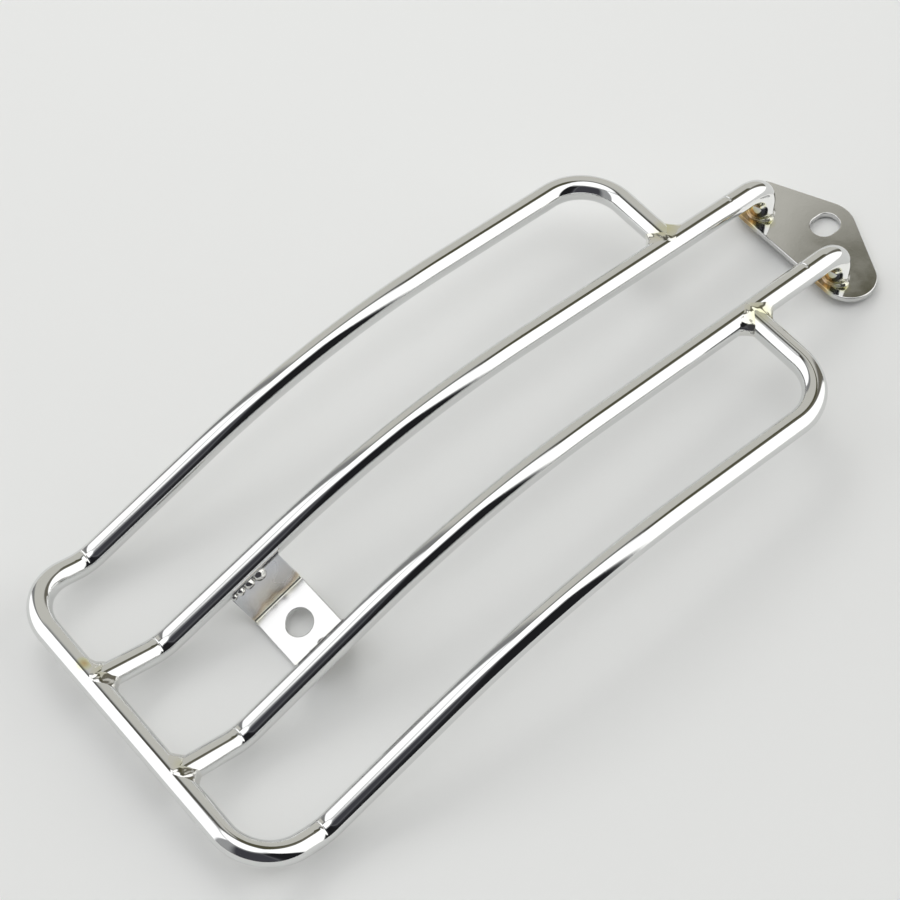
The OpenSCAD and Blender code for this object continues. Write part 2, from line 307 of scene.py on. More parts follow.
@dataclass
class Route:
    """Centre line of a bent rod.

    Attributes:
        points: Close points along it.
        tangents: Direction of the rod at each point.
        lengths: How far along the route each point lies.
        bends: How far along it the middle of each bend lies.
    """

    points: list[Vector] = field(default_factory=list)
    tangents: list[Vector] = field(default_factory=list)
    lengths: list[float] = field(default_factory=list)
    bends: list[float] = field(default_factory=list)

    def add(self, point: Vector, tangent: Vector) -> None:
        """Puts one more point at the end of the route.

        Args:
            point: The point.
            tangent: Direction of the rod there.
        """
        travelled = (point - self.points[-1]).length if self.points else 0.0
        self.lengths.append((self.lengths[-1] if self.lengths else 0.0) + travelled)
        self.points.append(point)
        self.tangents.append(tangent)

    @classmethod
    def through(cls, corners: Sequence[Vector], radii: Sequence[float], step: float) -> "Route":
        """Route along straight runs with a round bend at each corner between the ends.

        Args:
            corners: Points of the route, in millimetres.
            radii: Bend radius at each corner but the first and last.
            step: Distance between points; bends have them twice as close.

        Returns:
            The route, with the place of each bend's middle in bends.
        """
        route = cls()
        headings = [(b - a).normalized() for a, b in zip(corners, corners[1:])]
        setbacks = [0.0]
        for radius, before, after in zip(radii, headings, headings[1:]):
            setbacks.append(radius * math.tan(before.angle(after) / 2))
        setbacks.append(0.0)
        for index, heading in enumerate(headings):
            start = corners[index] + setbacks[index] * heading
            end = corners[index + 1] - setbacks[index + 1] * heading
            route.add_run(start, end, heading, step)
            if index + 1 < len(headings):
                route.add_bend(end, heading, headings[index + 1], radii[index], step / 2)
        route.add(corners[-1].copy(), headings[-1])
        return route

    def add_run(self, start: Vector, end: Vector, heading: Vector, step: float) -> None:
        """Adds a straight run without its end point.

        Args:
            start: Where the run starts.
            end: Where it ends.
            heading: Its direction.
            step: Distance between its points.
        """
        count = max(1, round((end - start).length / step))
        for index in range(count):
            self.add(start.lerp(end, index / count), heading)

    def add_bend(self, start: Vector, before: Vector, after: Vector, radius: float,
                 step: float) -> None:
        """Adds a round bend without its end point.

        Args:
            start: Where the bend starts.
            before: Direction of the rod before the bend.
            after: Direction of the rod after it.
            radius: Bend radius.
            step: Distance between its points.
        """
        inward = (after - after.dot(before) * before).normalized()
        centre = start + radius * inward
        turn = before.angle(after)
        count = max(BEND_POINTS, round(radius * turn / step))
        self.bends.append(self.lengths[-1] + step + radius * turn / 2)
        for index in range(count):
            angle = turn * index / count
            out = -inward * math.cos(angle) + before * math.sin(angle)
            tangent = before * math.cos(angle) + inward * math.sin(angle)
            self.add(centre + radius * out, tangent)

    def with_close_rings(self, marks: Sequence[float], reach: float, step: float) -> "Route":
        """Same route with close points near some places, so that fine marks there keep their shape.

        Args:
            marks: Distances along the route of the places.
            reach: How far the close points go on either side of each.
            step: Distance between close points.

        Returns:
            The new route.
        """
        finer = Route(bends=list(self.bends))
        for index, (start, end) in enumerate(zip(self.lengths, self.lengths[1:])):
            near = any(start - reach < mark < end + reach for mark in marks)
            count = max(1, math.ceil((end - start) / step)) if near else 1
            for part in range(count):
                finer.add(*self.between(index, part / count))
        finer.add(self.points[-1], self.tangents[-1])
        return finer

    def between(self, index: int, share: float) -> tuple[Vector, Vector]:
        """Point and tangent at a share of the way from one point of the route to the next.

        Args:
            index: Number of the first of the two points.
            share: Share of the way, from 0 to 1.

        Returns:
            The point and the tangent.
        """
        start, end = self.points[index], self.points[index + 1]
        length = (end - start).length
        leaving = start + self.tangents[index] * length / 3
        coming = end - self.tangents[index + 1] * length / 3
        curve = geometry.interpolate_bezier(start, leaving, coming, end, CURVE_STEPS + 1)
        tangent = self.tangents[index].lerp(self.tangents[index + 1], share).normalized()
        return curve[round(share * CURVE_STEPS)], tangent


@dataclass
class MeshMaker:
    """Builds pieces in the rack's frame and hands them over in the row frame."""

    plan: RackPlan

    def finish_piece(self, bm: bmesh.types.BMesh, name: str,
                     material: bpy.types.Material, replaced: Sequence[str]) -> bpy.types.Object:
        """Turns a mesh in the making into a piece of the rack.

        Args:
            bm: The mesh in millimetres, in the rack's frame; it is freed.
            name: Name of the piece.
            material: Its material.
            replaced: CAD nodes that it stands for.

        Returns:
            The new object, riding on the rack's body.
        """
        bmesh.ops.transform(bm, matrix=self.plan.to_row(), verts=bm.verts)
        for face in bm.faces:
            face.smooth = True
        mesh = bpy.data.meshes.new(name)
        bm.to_mesh(mesh)
        bm.free()
        mesh.materials.append(material)
        piece = bpy.data.objects.new(name, mesh)
        bpy.context.scene.collection.objects.link(piece)
        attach(piece, "root")
        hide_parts(*replaced)
        LOG.info("%s: %d faces for %s", name, len(mesh.polygons), ", ".join(replaced))
        return piece


def join_rings(bm: bmesh.types.BMesh, rings: Sequence[VertRow]) -> None:
    """Adds faces between closed rings of vertices that follow each other along a piece.

    Args:
        bm: Mesh that the faces go into.
        rings: Rings with the same number of vertices each.
    """
    for near, far in zip(rings, rings[1:]):
        for index, vert in enumerate(near):
            after = (index + 1) % len(near)
            bm.faces.new((vert, near[after], far[after], far[index]))


def join_strips(bm: bmesh.types.BMesh, strips: Sequence[VertRow]) -> None:
    """Adds faces between open strips of vertices that stand all the way around a seam.

    Args:
        bm: Mesh that the faces go into.
        strips: Strips with the same number of vertices each; the last one meets the first.
    """
    for near, far in zip(strips, [*strips[1:], strips[0]]):
        for step in range(len(near) - 1):
            bm.faces.new((near[step], far[step], far[step + 1], near[step + 1]))


# Rods


# Shares of the girth past and before which a point belongs to one side of a rod's seam
LATE_SHARE = 0.75
EARLY_SHARE = 0.25


@dataclass(frozen=True)
class Crease:
    """Small fold mark across a rod, on the side that faces a given way.

    Attributes:
        along: Distance along the route, in millimetres.
        facing: Direction that the marked side faces.
        depth: Depth of the groove.
        width: Half width of the groove along the rod.
        spread: Cosine of the angle to facing where the mark fades out.
        lip: Height of the ridge in front of the groove, as a share of its depth.
        lip_place: Distance from the groove to the ridge, in half widths of the groove.
        lip_width: Half width of the ridge, in half widths of the groove.
        end: Distance at which the mark ends, in half widths of the groove.
    """

    along: float
    facing: Vector
    depth: float = 0.25
    width: float = 0.42
    spread: float = 0.62
    lip: float = 0.4
    lip_place: float = 2.1
    lip_width: float = 1.2
    end: float = 6.0

    def inward(self, along: float, normal: Vector) -> float:
        """How deep the surface lies under the plain rod at a place.

        Args:
            along: Distance along the route.
            normal: Direction out of the rod there.

        Returns:
            The depth, in millimetres.
        """
        offset = along - self.along
        if abs(offset) > self.end * self.width:
            return 0.0
        share = smooth_step(self.spread, 1.0, normal.dot(self.facing))
        ridge = bell(offset - self.lip_place * self.width, self.lip_width * self.width)
        return self.depth * share * (bell(offset, self.width) - self.lip * ridge)


@dataclass
class RodSkin:
    """Surface of a bent and polished rod.

    Attributes:
        seed: Offset into the noise, so that no two rods are alike.
        under: How far the whole surface lies under the plain rod, as the bends of the CAD rods do.
        wave: Depth of the polisher's shallow waves.
        wave_length: Length of the waves along the rod.
        wave_around: How fast they change around the rod.
        wave_twist: How much they wind around it.
        creases: Fold marks on the rod.
    """

    seed: float
    under: float = 0.025
    wave: float = 0.014
    wave_length: float = 13.0
    wave_around: float = 0.9
    wave_twist: float = 0.3
    creases: list[Crease] = field(default_factory=list)

    def inward(self, along: float, normal: Vector) -> float:
        """How deep the surface lies under the plain rod at a place, never outside it.

        Args:
            along: Distance along the route.
            normal: Direction out of the rod there.

        Returns:
            The depth, in millimetres.
        """
        place = Vector((along / self.wave_length + self.seed, normal.x * self.wave_around,
                        normal.z * self.wave_around + normal.y * self.wave_twist))
        waves = self.wave * (1 + noise.noise(place)) / 2
        marks = sum(crease.inward(along, normal) for crease in self.creases)
        return self.under + max(0.0, waves + marks)


@dataclass
class BentRod:
    """A round rod swept along its route, drawn as one piece.

    Attributes:
        name: Name of the piece.
        node: CAD node that it stands for.
        route: Centre line in the rack's frame.
        skin: Its surface.
        sides: Points around the rod.
        mark_reach: How far around a fold mark the rings are close.
        mark_step: Distance between close rings.
    """

    name: str
    node: str
    route: Route
    skin: RodSkin
    sides: int = 64
    mark_reach: float = 2.2
    mark_step: float = 0.13

    def build(self, maker: MeshMaker, material: bpy.types.Material) -> bpy.types.Object:
        """Sweeps the rod and hands it over.

        Args:
            maker: Hands the piece over in the row frame.
            material: Material of the piece.

        Returns:
            The piece.
        """
        bm = bmesh.new()
        uv_layer = bm.loops.layers.uv.new("Along")
        rings, place_of = [], {}
        marks = [crease.along for crease in self.skin.creases]
        route = self.route.with_close_rings(marks, self.mark_reach, self.mark_step)
        aside = route.tangents[0].orthogonal().normalized()
        for centre, tangent, along in zip(route.points, route.tangents, route.lengths):
            aside = (aside - aside.dot(tangent) * tangent).normalized()
            other = tangent.cross(aside)
            ring = []
            for index in range(self.sides):
                angle = 2 * math.pi * index / self.sides
                normal = math.cos(angle) * aside + math.sin(angle) * other
                radius = maker.plan.rod_r - self.skin.inward(along, normal)
                vert = bm.verts.new(centre + radius * normal)
                place_of[vert] = (along, maker.plan.rod_r * angle)
                ring.append(vert)
            rings.append(ring)
        join_rings(bm, rings)
        bm.faces.new(list(reversed(rings[0])))
        bm.faces.new(rings[-1])
        self.lay_out(bm, uv_layer, place_of, 2 * math.pi * maker.plan.rod_r)
        bmesh.ops.recalc_face_normals(bm, faces=bm.faces)
        return maker.finish_piece(bm, self.name, material, [self.node])

    @staticmethod
    def lay_out(bm: bmesh.types.BMesh, uv_layer: bmesh.types.BMLayerItem,
                place_of: dict[bmesh.types.BMVert, Place2D], girth: float) -> None:
        """Stores how far along and around the rod each corner lies, for its polishing marks.

        Args:
            bm: Mesh of the rod.
            uv_layer: Layer that the places go into.
            place_of: How far along and around each vertex lies.
            girth: Distance around the rod.
        """
        for face in bm.faces:
            at_seam = max(place_of[vert][1] for vert in face.verts) > girth * LATE_SHARE
            for loop in face.loops:
                along, around = place_of[loop.vert]
                if at_seam and around < girth * EARLY_SHARE:
                    around += girth
                loop[uv_layer].uv = (along, around)


@dataclass
class RodWork:
    """All three rods: the outer hoop and the two inner rails.

    Attributes:
        plan: Sizes of the rack.
        step: Distance between the points of a route.
        butt_share: How far a butting end goes in, as a share of the land of its cope.
        hoop_seed: Offset into the noise of the hoop's skin.
        inner_seed: Offset into the noise of the inner rails' skins.
        kick_marks: How far each fold mark at a kick-up lies from the bend's middle.
        front_mark_back: How far the front fold marks lie behind the legs' bends.
        front_facing: Direction that the front fold marks face.
    """

    plan: RackPlan
    step: float = 1.3
    butt_share: float = 0.6
    hoop_seed: float = 3.1
    inner_seed: float = 11.7
    kick_marks: dict[str, float] = field(default_factory=lambda: {
        "hoop_left": 0.0, "hoop_right": 0.4, "inner_left": -0.3, "inner_right": 0.3})
    front_mark_back: float = 17.6
    front_facing: Vector = field(default_factory=lambda: Vector((-0.6, 0.0, 0.8)))

    def hoop(self) -> BentRod:
        """One rod: front leg, corner, outer rail, corner, cross-bar, and back to the front.

        Returns:
            The hoop.
        """
        plan = self.plan
        rail = [(0.0, 0.0), plan.arch_corner, plan.kick_corner, plan.tail_end]
        left = [plan.on_hoop(place, Side.LEFT) for place in rail]
        right = [plan.on_hoop(place, Side.RIGHT) for place in reversed(rail)]
        tip = plan.inner_w / 2 + self.butt_share * plan.cope_land
        corners = [Vector((-tip, 0.0, 0.0)), *left, *right, Vector((tip, 0.0, 0.0))]
        bends = [plan.front_corner_r, plan.arch_r, plan.kick_r, plan.rear_corner_r]
        route = Route.through(corners, [*bends, *reversed(bends)], self.step)
        marks = [
            Crease(route.bends[2] + self.kick_marks["hoop_left"], self.above_kick()),
            Crease(route.bends[5] + self.kick_marks["hoop_right"], self.above_kick()),
        ]
        return BentRod("hoop_rod", "outer_hoop", route, RodSkin(self.hoop_seed, creases=marks))

    def above_kick(self) -> Vector:
        """Direction that the hollow side of the kick-up faces."""
        middle = (self.plan.rear_along + self.plan.tail_along).normalized()
        return Vector((0.0, -middle.y, middle.x))

    def inner(self, side: Side) -> BentRod:
        """Inner rail from the cross-bar to the foot of its down-turned leg.

        Args:
            side: Left or right rail.

        Returns:
            The rail.
        """
        plan = self.plan
        tip = plan.tail_end + self.butt_share * plan.cope_land * plan.tail_along
        foot = Vector((plan.leg_reach, plan.plate_top))
        profile = [tip, plan.kick_corner, plan.arch_corner, plan.leg_corner, foot]
        corners = [plan.on_inner(place, side) for place in profile]
        route = Route.through(corners, [plan.kick_r, plan.arch_r, plan.leg_r], self.step)
        front_mark = route.bends[2] - self.front_mark_back
        marks = [
            Crease(route.bends[0] + self.kick_marks[f"inner_{side.label}"], self.above_kick()),
            Crease(front_mark, self.front_facing.normalized(), depth=0.35, width=0.5,
                   spread=0.6),
        ]
        skin = RodSkin(self.inner_seed + side.value, creases=marks)
        return BentRod(f"inner_rod_{side.label}", f"inner_rail_{side.label}", route, skin)


# Plate and bracket


# Facets of a rounded edge, distance in millimetres of points that are one, upward part of a
# normal from which a face is flat, and weight of the flat faces in the shading
BEVEL_STEPS = 3
SAME_PLACE = 1e-4
FLAT_NORMAL = 0.999
FLAT_WEIGHT = 100


def plate_mesh(outline: Sequence[Vector], holes: Sequence[Sequence[Vector]], thickness: float,
               edge: float) -> bmesh.types.BMesh:
    """Flat plate with holes and rounded edges, on both sides of the XY plane.

    Args:
        outline: Points around the plate.
        holes: Points around each hole.
        thickness: Thickness of the plate.
        edge: Radius of its edges.

    Returns:
        The mesh.
    """
    curve = bpy.data.curves.new("plate_outline", "CURVE")
    curve.dimensions = "2D"
    curve.fill_mode = "BOTH"
    for points in [outline, *holes]:
        spline = curve.splines.new("POLY")
        spline.points.add(len(points) - 1)
        for target, point in zip(spline.points, points):
            target.co = (point.x, point.y, 0.0, 1.0)
        spline.use_cyclic_u = True
    curve.extrude = thickness / 2 - edge
    curve.bevel_depth = edge
    curve.bevel_resolution = BEVEL_STEPS
    curve.offset = -edge
    carrier = bpy.data.objects.new("plate_outline", curve)
    bm = bmesh.new()
    bm.from_mesh(carrier.to_mesh())
    carrier.to_mesh_clear()
    bpy.data.objects.remove(carrier)
    bpy.data.curves.remove(curve)
    bmesh.ops.remove_doubles(bm, verts=bm.verts, dist=SAME_PLACE)
    bm.normal_update()
    for border in bm.edges:
        flat = [abs(face.normal.z) > FLAT_NORMAL for face in border.link_faces]
        border.smooth = all(flat) or not any(flat)
    return bm


def weight_normals(piece: bpy.types.Object) -> None:
    """Keeps the flat faces of a plate flat in its shading.

    Args:
        piece: The plate.
    """
    modifier = piece.modifiers.new("Flat faces", "WEIGHTED_NORMAL")
    modifier.weight = FLAT_WEIGHT
    modifier.keep_sharp = True


@dataclass
class FrontPlate:
    """Slotted plate under the front legs: two lobes and a nose.

    Attributes:
        plan: Sizes of the rack.
        edge: Radius of the plate's edges.
        arc_step: Angle between the points of an arc, in degrees.
    """

    plan: RackPlan
    edge: float = 0.45
    arc_step: float = 4.0

    def arc(self, centre: Vector, radius: float, start: float, end: float) -> list[Vector]:
        """Points on an arc from one angle to another, in degrees.

        Args:
            centre: Centre of the arc.
            radius: Its radius.
            start: Angle where it starts.
            end: Angle where it ends.

        Returns:
            The points, both ends included.
        """
        count = max(2, math.ceil(abs(end - start) / self.arc_step))
        angles = (math.radians(start + (end - start) * index / count)
                  for index in range(count + 1))
        return [centre + radius * Vector((math.cos(angle), math.sin(angle))) for angle in angles]

    def outline(self) -> list[Vector]:
        """Outline around the plate, from the rear of the right lobe round by the nose.

        Returns:
            Its points.
        """
        plan = self.plan
        leg_x = plan.on_inner((plan.leg_reach, plan.plate_top), Side.RIGHT).x
        lobe = Vector((leg_x + plan.lobe_out, plan.plate_rear + plan.lobe_r))
        nose = Vector((0.0, plan.plate_rear + plan.nose_reach))
        to_nose = nose - lobe
        touch = math.acos((plan.lobe_r - plan.nose_r) / to_nose.length)
        edge_angle = math.degrees(math.atan2(to_nose.y, to_nose.x) - touch)
        left_lobe = Vector((-lobe.x, lobe.y))
        return [
            *self.arc(lobe, plan.lobe_r, -90, edge_angle),
            *self.arc(nose, plan.nose_r, edge_angle, 180 - edge_angle),
            *self.arc(left_lobe, plan.lobe_r, 180 - edge_angle, 270),
        ]

    def slot_outline(self) -> list[Vector]:
        """Outline of the slot with its round ends.

        Returns:
            Its points.
        """
        plan = self.plan
        middle = Vector((0.0, plan.plate_rear + plan.nose_reach))
        reach = Vector((0.0, (plan.slot_l - plan.slot_w) / 2))
        ahead = self.arc(middle + reach, plan.slot_w / 2, 0, 180)
        return [*ahead, *self.arc(middle - reach, plan.slot_w / 2, 180, 360)]

    def build(self, maker: MeshMaker, material: bpy.types.Material) -> bpy.types.Object:
        """Cuts the plate and puts it under the legs.

        Args:
            maker: Hands the piece over in the row frame.
            material: Material of the piece.

        Returns:
            The piece.
        """
        plan = self.plan
        bm = plate_mesh(self.outline(), [self.slot_outline()], plan.plate_t, self.edge)
        lower = Matrix.Translation((0.0, 0.0, plan.plate_top - plan.plate_t / 2))
        bmesh.ops.transform(bm, matrix=lower, verts=bm.verts)
        piece = maker.finish_piece(bm, "front_mount_plate", material, ["front_plate"])
        weight_normals(piece)
        return piece


@dataclass
class RearBracket:
    """Strip folded up at both ends, cut flat with its hole and then folded.

    Attributes:
        plan: Sizes of the rack.
        edge: Radius of the strip's edges.
        fold_cuts: Facets of each fold.
        hole_points: Points around the hole.
    """

    plan: RackPlan
    edge: float = 0.35
    fold_cuts: int = 12
    hole_points: int = 72

    @property
    def fold_turn(self) -> float:
        """Angle of each fold, in radians."""
        return math.radians(90 - self.plan.flange_lean)

    @property
    def floor_half(self) -> float:
        """Half length of the flat floor.

        Returns:
            The length, in millimetres.
        """
        plan = self.plan
        lean = math.radians(plan.flange_lean)
        rail = plan.on_inner(plan.strip_mid, Side.RIGHT).x
        fold_x = rail - plan.bracket_h * math.tan(lean) - plan.flange_miss / math.cos(lean)
        return fold_x - plan.fold_r * math.tan(self.fold_turn / 2)

    @property
    def flange_length(self) -> float:
        """Flat length of a flange, into the rod that hides its end.

        Returns:
            The length, in millimetres.
        """
        plan = self.plan
        lean = math.radians(plan.flange_lean)
        rail = plan.on_inner(plan.strip_mid, Side.RIGHT).x
        fold_x = self.floor_half + plan.fold_r * math.tan(self.fold_turn / 2)
        reach = (rail - fold_x) * math.sin(lean) + plan.bracket_h * math.cos(lean)
        return reach - plan.cope_land - plan.fold_r * math.tan(self.fold_turn / 2)

    @property
    def mid_r(self) -> float:
        """Fold radius at the middle of the strip's thickness."""
        return self.plan.fold_r + self.plan.strip_t / 2

    def fold(self, flat: Vector) -> Vector:
        """Takes a point of the flat strip to its place on the folded one.

        Args:
            flat: Point with X along the strip, Y across it, and Z its height over the mid plane.

        Returns:
            The point with the top of the floor at the height of zero.
        """
        sign = 1.0 if flat.x >= 0 else -1.0
        past = abs(flat.x) - self.floor_half
        half = self.plan.strip_t / 2
        if past <= 0:
            return Vector((flat.x, flat.y, flat.z - half))
        bent = self.mid_r * self.fold_turn
        angle = min(past, bent) / self.mid_r
        radius = self.mid_r - flat.z
        x = self.floor_half + radius * math.sin(angle)
        z = self.plan.fold_r - radius * math.cos(angle)
        rest = max(0.0, past - bent)
        x += rest * math.cos(angle)
        z += rest * math.sin(angle)
        return Vector((sign * x, flat.y, z))

    def build(self, maker: MeshMaker, material: bpy.types.Material) -> bpy.types.Object:
        """Cuts the strip with its hole, folds it and puts it under the inner rails.

        Args:
            maker: Hands the piece over in the row frame.
            material: Material of the piece.

        Returns:
            The piece.
        """
        plan = self.plan
        bent = self.mid_r * self.fold_turn
        half_l = self.floor_half + bent + self.flange_length
        half_w = plan.strip_w / 2
        outline = [Vector((-half_l, -half_w)), Vector((half_l, -half_w)),
                   Vector((half_l, half_w)), Vector((-half_l, half_w))]
        turns = (2 * math.pi * index / self.hole_points for index in range(self.hole_points))
        hole = [plan.bracket_bore / 2 * Vector((math.cos(turn), math.sin(turn)))
                for turn in turns]
        bm = plate_mesh(outline, [hole], plan.strip_t, self.edge)
        for side in Side:
            for index in range(self.fold_cuts + 1):
                cut_x = side.value * (self.floor_half + bent * index / self.fold_cuts)
                everything = [*bm.verts, *bm.edges, *bm.faces]
                bmesh.ops.bisect_plane(bm, geom=everything, plane_co=(cut_x, 0.0, 0.0),
                                       plane_no=(1, 0, 0))
        for vert in bm.verts:
            vert.co = self.fold(vert.co)
        bmesh.ops.transform(bm, matrix=plan.bracket_frame, verts=bm.verts)
        piece = maker.finish_piece(bm, "rear_mount_strip", material, ["rear_bracket"])
        weight_normals(piece)
        return piece


# Welds


@dataclass
class TeeWeld:
    """Bead around a rod's end that butts on another rod.

    Its own frame has the butting rod along Z and the other one along X, with their axes crossing
    at the origin, and Y to the upper side.

    Attributes:
        name: Name of the piece.
        node: CAD node that it stands for.
        place: Matrix from its own frame to the rack's.
        seed: Offset into the noise.
        corner_leg: Length of the bead's legs in the corners.
        top_leg: Length of its legs over the crown of the rods.
        top_lift: How far its face is pulled up over the crown.
        fullness: From 0, where the face is a hollow fillet, to 1, where it is a straight chord.
        uneven: Share by which the length of the legs varies.
        uneven_grain: How fast it varies around the seam.
        lumps: Height of the bead's lumps, in millimetres.
        lump_grain: How fast the lumps change around the seam and across the bead.
        lump_seed: Offset of the lumps' noise from the roughness's.
        rough: Height of its roughness.
        rough_grain: How fast the roughness changes around the seam and across the bead.
        ripple_height: Height of its ripples.
        ripple_pitch: Distance between ripples.
        ripple_out: How far outside the rods' radius that distance holds.
        ripple_bow: How much the ripples bow, in pitches.
        fade: Power with which all of these fade to the bead's borders.
        sink: How far its borders lie inside the rods.
        rings: Strips around the seam.
        steps: Faces across the bead.
    """

    name: str
    node: str
    place: Matrix
    seed: float
    corner_leg: float = 4.8
    top_leg: float = 3.1
    top_lift: float = 1.2
    fullness: float = 0.5
    uneven: float = 0.16
    uneven_grain: float = 2.0
    lumps: float = 0.3
    lump_grain: Place2D = (1.3, 1.1)
    lump_seed: float = 9.0
    rough: float = 0.16
    rough_grain: Place2D = (2.6, 2.4)
    ripple_height: float = 0.03
    ripple_pitch: float = 2.3
    ripple_out: float = 1.5
    ripple_bow: float = 3.0
    fade: float = 0.7
    sink: float = 0.14
    rings: int = 180
    steps: int = 26

    def run_point(self, radius: float, angle: float, out: float) -> Vector:
        """Point on the rod that runs through, some way out from the seam.

        Args:
            radius: Radius of the rods.
            angle: Angle around the butting rod.
            out: Distance out from the seam.

        Returns:
            The point.
        """
        rise = math.asin(max(-1.0, min(1.0, math.sin(angle))))
        rise += math.copysign(out * abs(math.sin(angle)) / radius, math.sin(angle))
        x = (radius + out) * math.cos(angle)
        return Vector((x, radius * math.sin(rise), radius * math.cos(rise)))

    def butt_point(self, radius: float, angle: float, up: float) -> Vector:
        """Point on the rod that butts, some way up from the seam."""
        across, aside = radius * math.cos(angle), radius * math.sin(angle)
        return Vector((across, aside, abs(across) + up))

    def face_point(self, radius: float, angle: float, share: float) -> Vector:
        """Point on the bead's face before its ripples.

        Args:
            radius: Radius of the rods.
            angle: Angle around the butting rod.
            share: Share of the way across the bead, from the running rod to the butting one.

        Returns:
            The point.
        """
        top = math.sin(angle) ** 2
        around = Vector((self.uneven_grain * math.cos(angle), self.uneven_grain * math.sin(angle),
                         self.seed))
        leg = self.corner_leg + (self.top_leg - self.corner_leg) * top
        leg *= 1 + self.uneven * noise.noise(around)
        toe = self.run_point(radius, angle, leg)
        end = self.butt_point(radius, angle, leg)
        seam = self.butt_point(radius, angle, 0.0)
        outward = Vector((math.cos(angle), math.sin(angle), abs(math.cos(angle)))).normalized()
        pull = seam.lerp((toe + end) / 2, self.fullness * (1 - top))
        pull += self.top_lift * top * outward
        near, far = toe.lerp(pull, share), pull.lerp(end, share)
        return near.lerp(far, share)

    def ripple(self, radius: float, angle: float, share: float) -> float:
        """Height of the weld's ripples and dimples over its face.

        Args:
            radius: Radius of the rods.
            angle: Angle around the butting rod.
            share: Share of the way across the bead, from the running rod to the butting one.

        Returns:
            The height, in millimetres.
        """
        out = Vector((math.cos(angle), math.sin(angle)))
        bow = self.ripple_bow * (share - 0.5) ** 2
        ripples = angle * (radius + self.ripple_out) / self.ripple_pitch + bow
        (rough_out, rough_up), (lump_out, lump_up) = self.rough_grain, self.lump_grain
        rough = noise.noise(Vector((rough_out * out.x, rough_out * out.y,
                                    share * rough_up + self.seed)))
        lump = noise.noise(Vector((lump_out * out.x, lump_out * out.y,
                                   share * lump_up + self.seed + self.lump_seed)))
        wave = math.sin(2 * math.pi * ripples)
        height = self.ripple_height * wave + self.rough * rough + self.lumps * lump
        return math.sin(math.pi * share) ** self.fade * height

    def build(self, maker: MeshMaker, material: bpy.types.Material) -> bpy.types.Object:
        """Lays the bead around the seam.

        Args:
            maker: Hands the piece over in the row frame.
            material: Material of the piece.

        Returns:
            The piece.
        """
        radius = maker.plan.rod_r
        bm = bmesh.new()
        rings, heights = [], {}
        for index in range(self.rings):
            angle = 2 * math.pi * index / self.rings
            ring = []
            for step in range(self.steps + 1):
                share = step / self.steps
                vert = bm.verts.new(self.face_point(radius, angle, share))
                border = 1 - math.sin(math.pi * share)
                heights[vert] = self.ripple(radius, angle, share) - self.sink * border
                ring.append(vert)
            rings.append(ring)
        join_strips(bm, rings)
        bm.normal_update()
        probe = rings[0][self.steps // 2]
        outward = probe.co - Vector((0.0, 0.0, radius))
        sign = 1.0 if probe.normal.dot(outward) > 0 else -1.0
        for vert, height in heights.items():
            vert.co += sign * height * vert.normal
        if sign < 0:
            bmesh.ops.reverse_faces(bm, faces=bm.faces)
        bmesh.ops.transform(bm, matrix=self.place, verts=bm.verts)
        return maker.finish_piece(bm, self.name, material, [self.node])


@dataclass
class FootWeld:
    """Low bead around the foot of a down-turned leg, with a lump where it was ended.

    Attributes:
        plan: Sizes of the rack.
        side: Left or right leg.
        seed: Offset into the noise.
        leg: Length of the bead's legs.
        rear_x: Sideways part of the direction in which the bead is thicker.
        rear_y: Forward part of that direction.
        rear_more: How much thicker it is there, as a share.
        uneven: Share by which its thickness varies.
        grain: How fast it varies around the leg.
        lump: How far the lump stands out.
        lump_turn: Angle of the lump around the leg, in degrees.
        lump_width: Half width of the lump.
        bulge_least: Least share of its reach that the bead's round face keeps.
        bulge_more: Share that comes on top at its borders.
        sink_leg: How far it goes into the leg.
        sink_plate: How far it goes into the plate.
        rings: Strips around the leg.
        steps: Faces across the bead.
    """

    plan: RackPlan
    side: Side
    seed: float
    leg: float = 0.9
    rear_x: float = 0.3
    rear_y: float = -0.95
    rear_more: float = 0.5
    uneven: float = 0.16
    grain: float = 0.9
    lump: float = 2.1
    lump_turn: float = -12.0
    lump_width: float = 2.4
    bulge_least: float = 0.78
    bulge_more: float = 0.22
    sink_leg: float = 0.15
    sink_plate: float = 0.1
    rings: int = 120
    steps: int = 20

    def build(self, maker: MeshMaker, material: bpy.types.Material) -> bpy.types.Object:
        """Lays the bead around the foot, thicker at the rear.

        Args:
            maker: Hands the piece over in the row frame.
            material: Material of the piece.

        Returns:
            The piece.
        """
        plan = self.plan
        foot = plan.on_inner((plan.leg_reach, plan.plate_top), self.side)
        bm = bmesh.new()
        rings = []
        for index in range(self.rings):
            angle = 2 * math.pi * index / self.rings
            out = Vector((math.cos(angle), math.sin(angle), 0.0))
            to_rear = out.dot(Vector((self.side.value * self.rear_x, self.rear_y, 0.0)))
            thick = 1 + self.rear_more * max(0.0, to_rear)
            around = Vector((self.grain * out.x, self.grain * out.y, self.seed))
            uneven = 1 + self.uneven * noise.noise(around)
            away = math.remainder(angle - math.radians(self.lump_turn), 2 * math.pi)
            lump = self.lump * bell(away * plan.rod_r, self.lump_width)
            ring = []
            for step in range(self.steps + 1):
                turn = math.pi / 2 * step / self.steps
                reach = self.leg * thick * uneven + lump * math.sin(2 * turn)
                bulge = self.bulge_least + self.bulge_more * abs(math.cos(2 * turn))
                radial = plan.rod_r - self.sink_leg + reach * bulge * math.cos(turn)
                height = reach * bulge * math.sin(turn) - self.sink_plate
                ring.append(bm.verts.new(foot + radial * out + height * UP))
            rings.append(ring)
        join_strips(bm, rings)
        name, node = f"leg_bead_{self.side.label}", f"plate_weld_{self.side.label}"
        return maker.finish_piece(bm, name, material, [node])


@dataclass(frozen=True)
class Lump:
    """One lump of a stitched weld: its place along the seam and its radius."""

    along: float
    radius: float


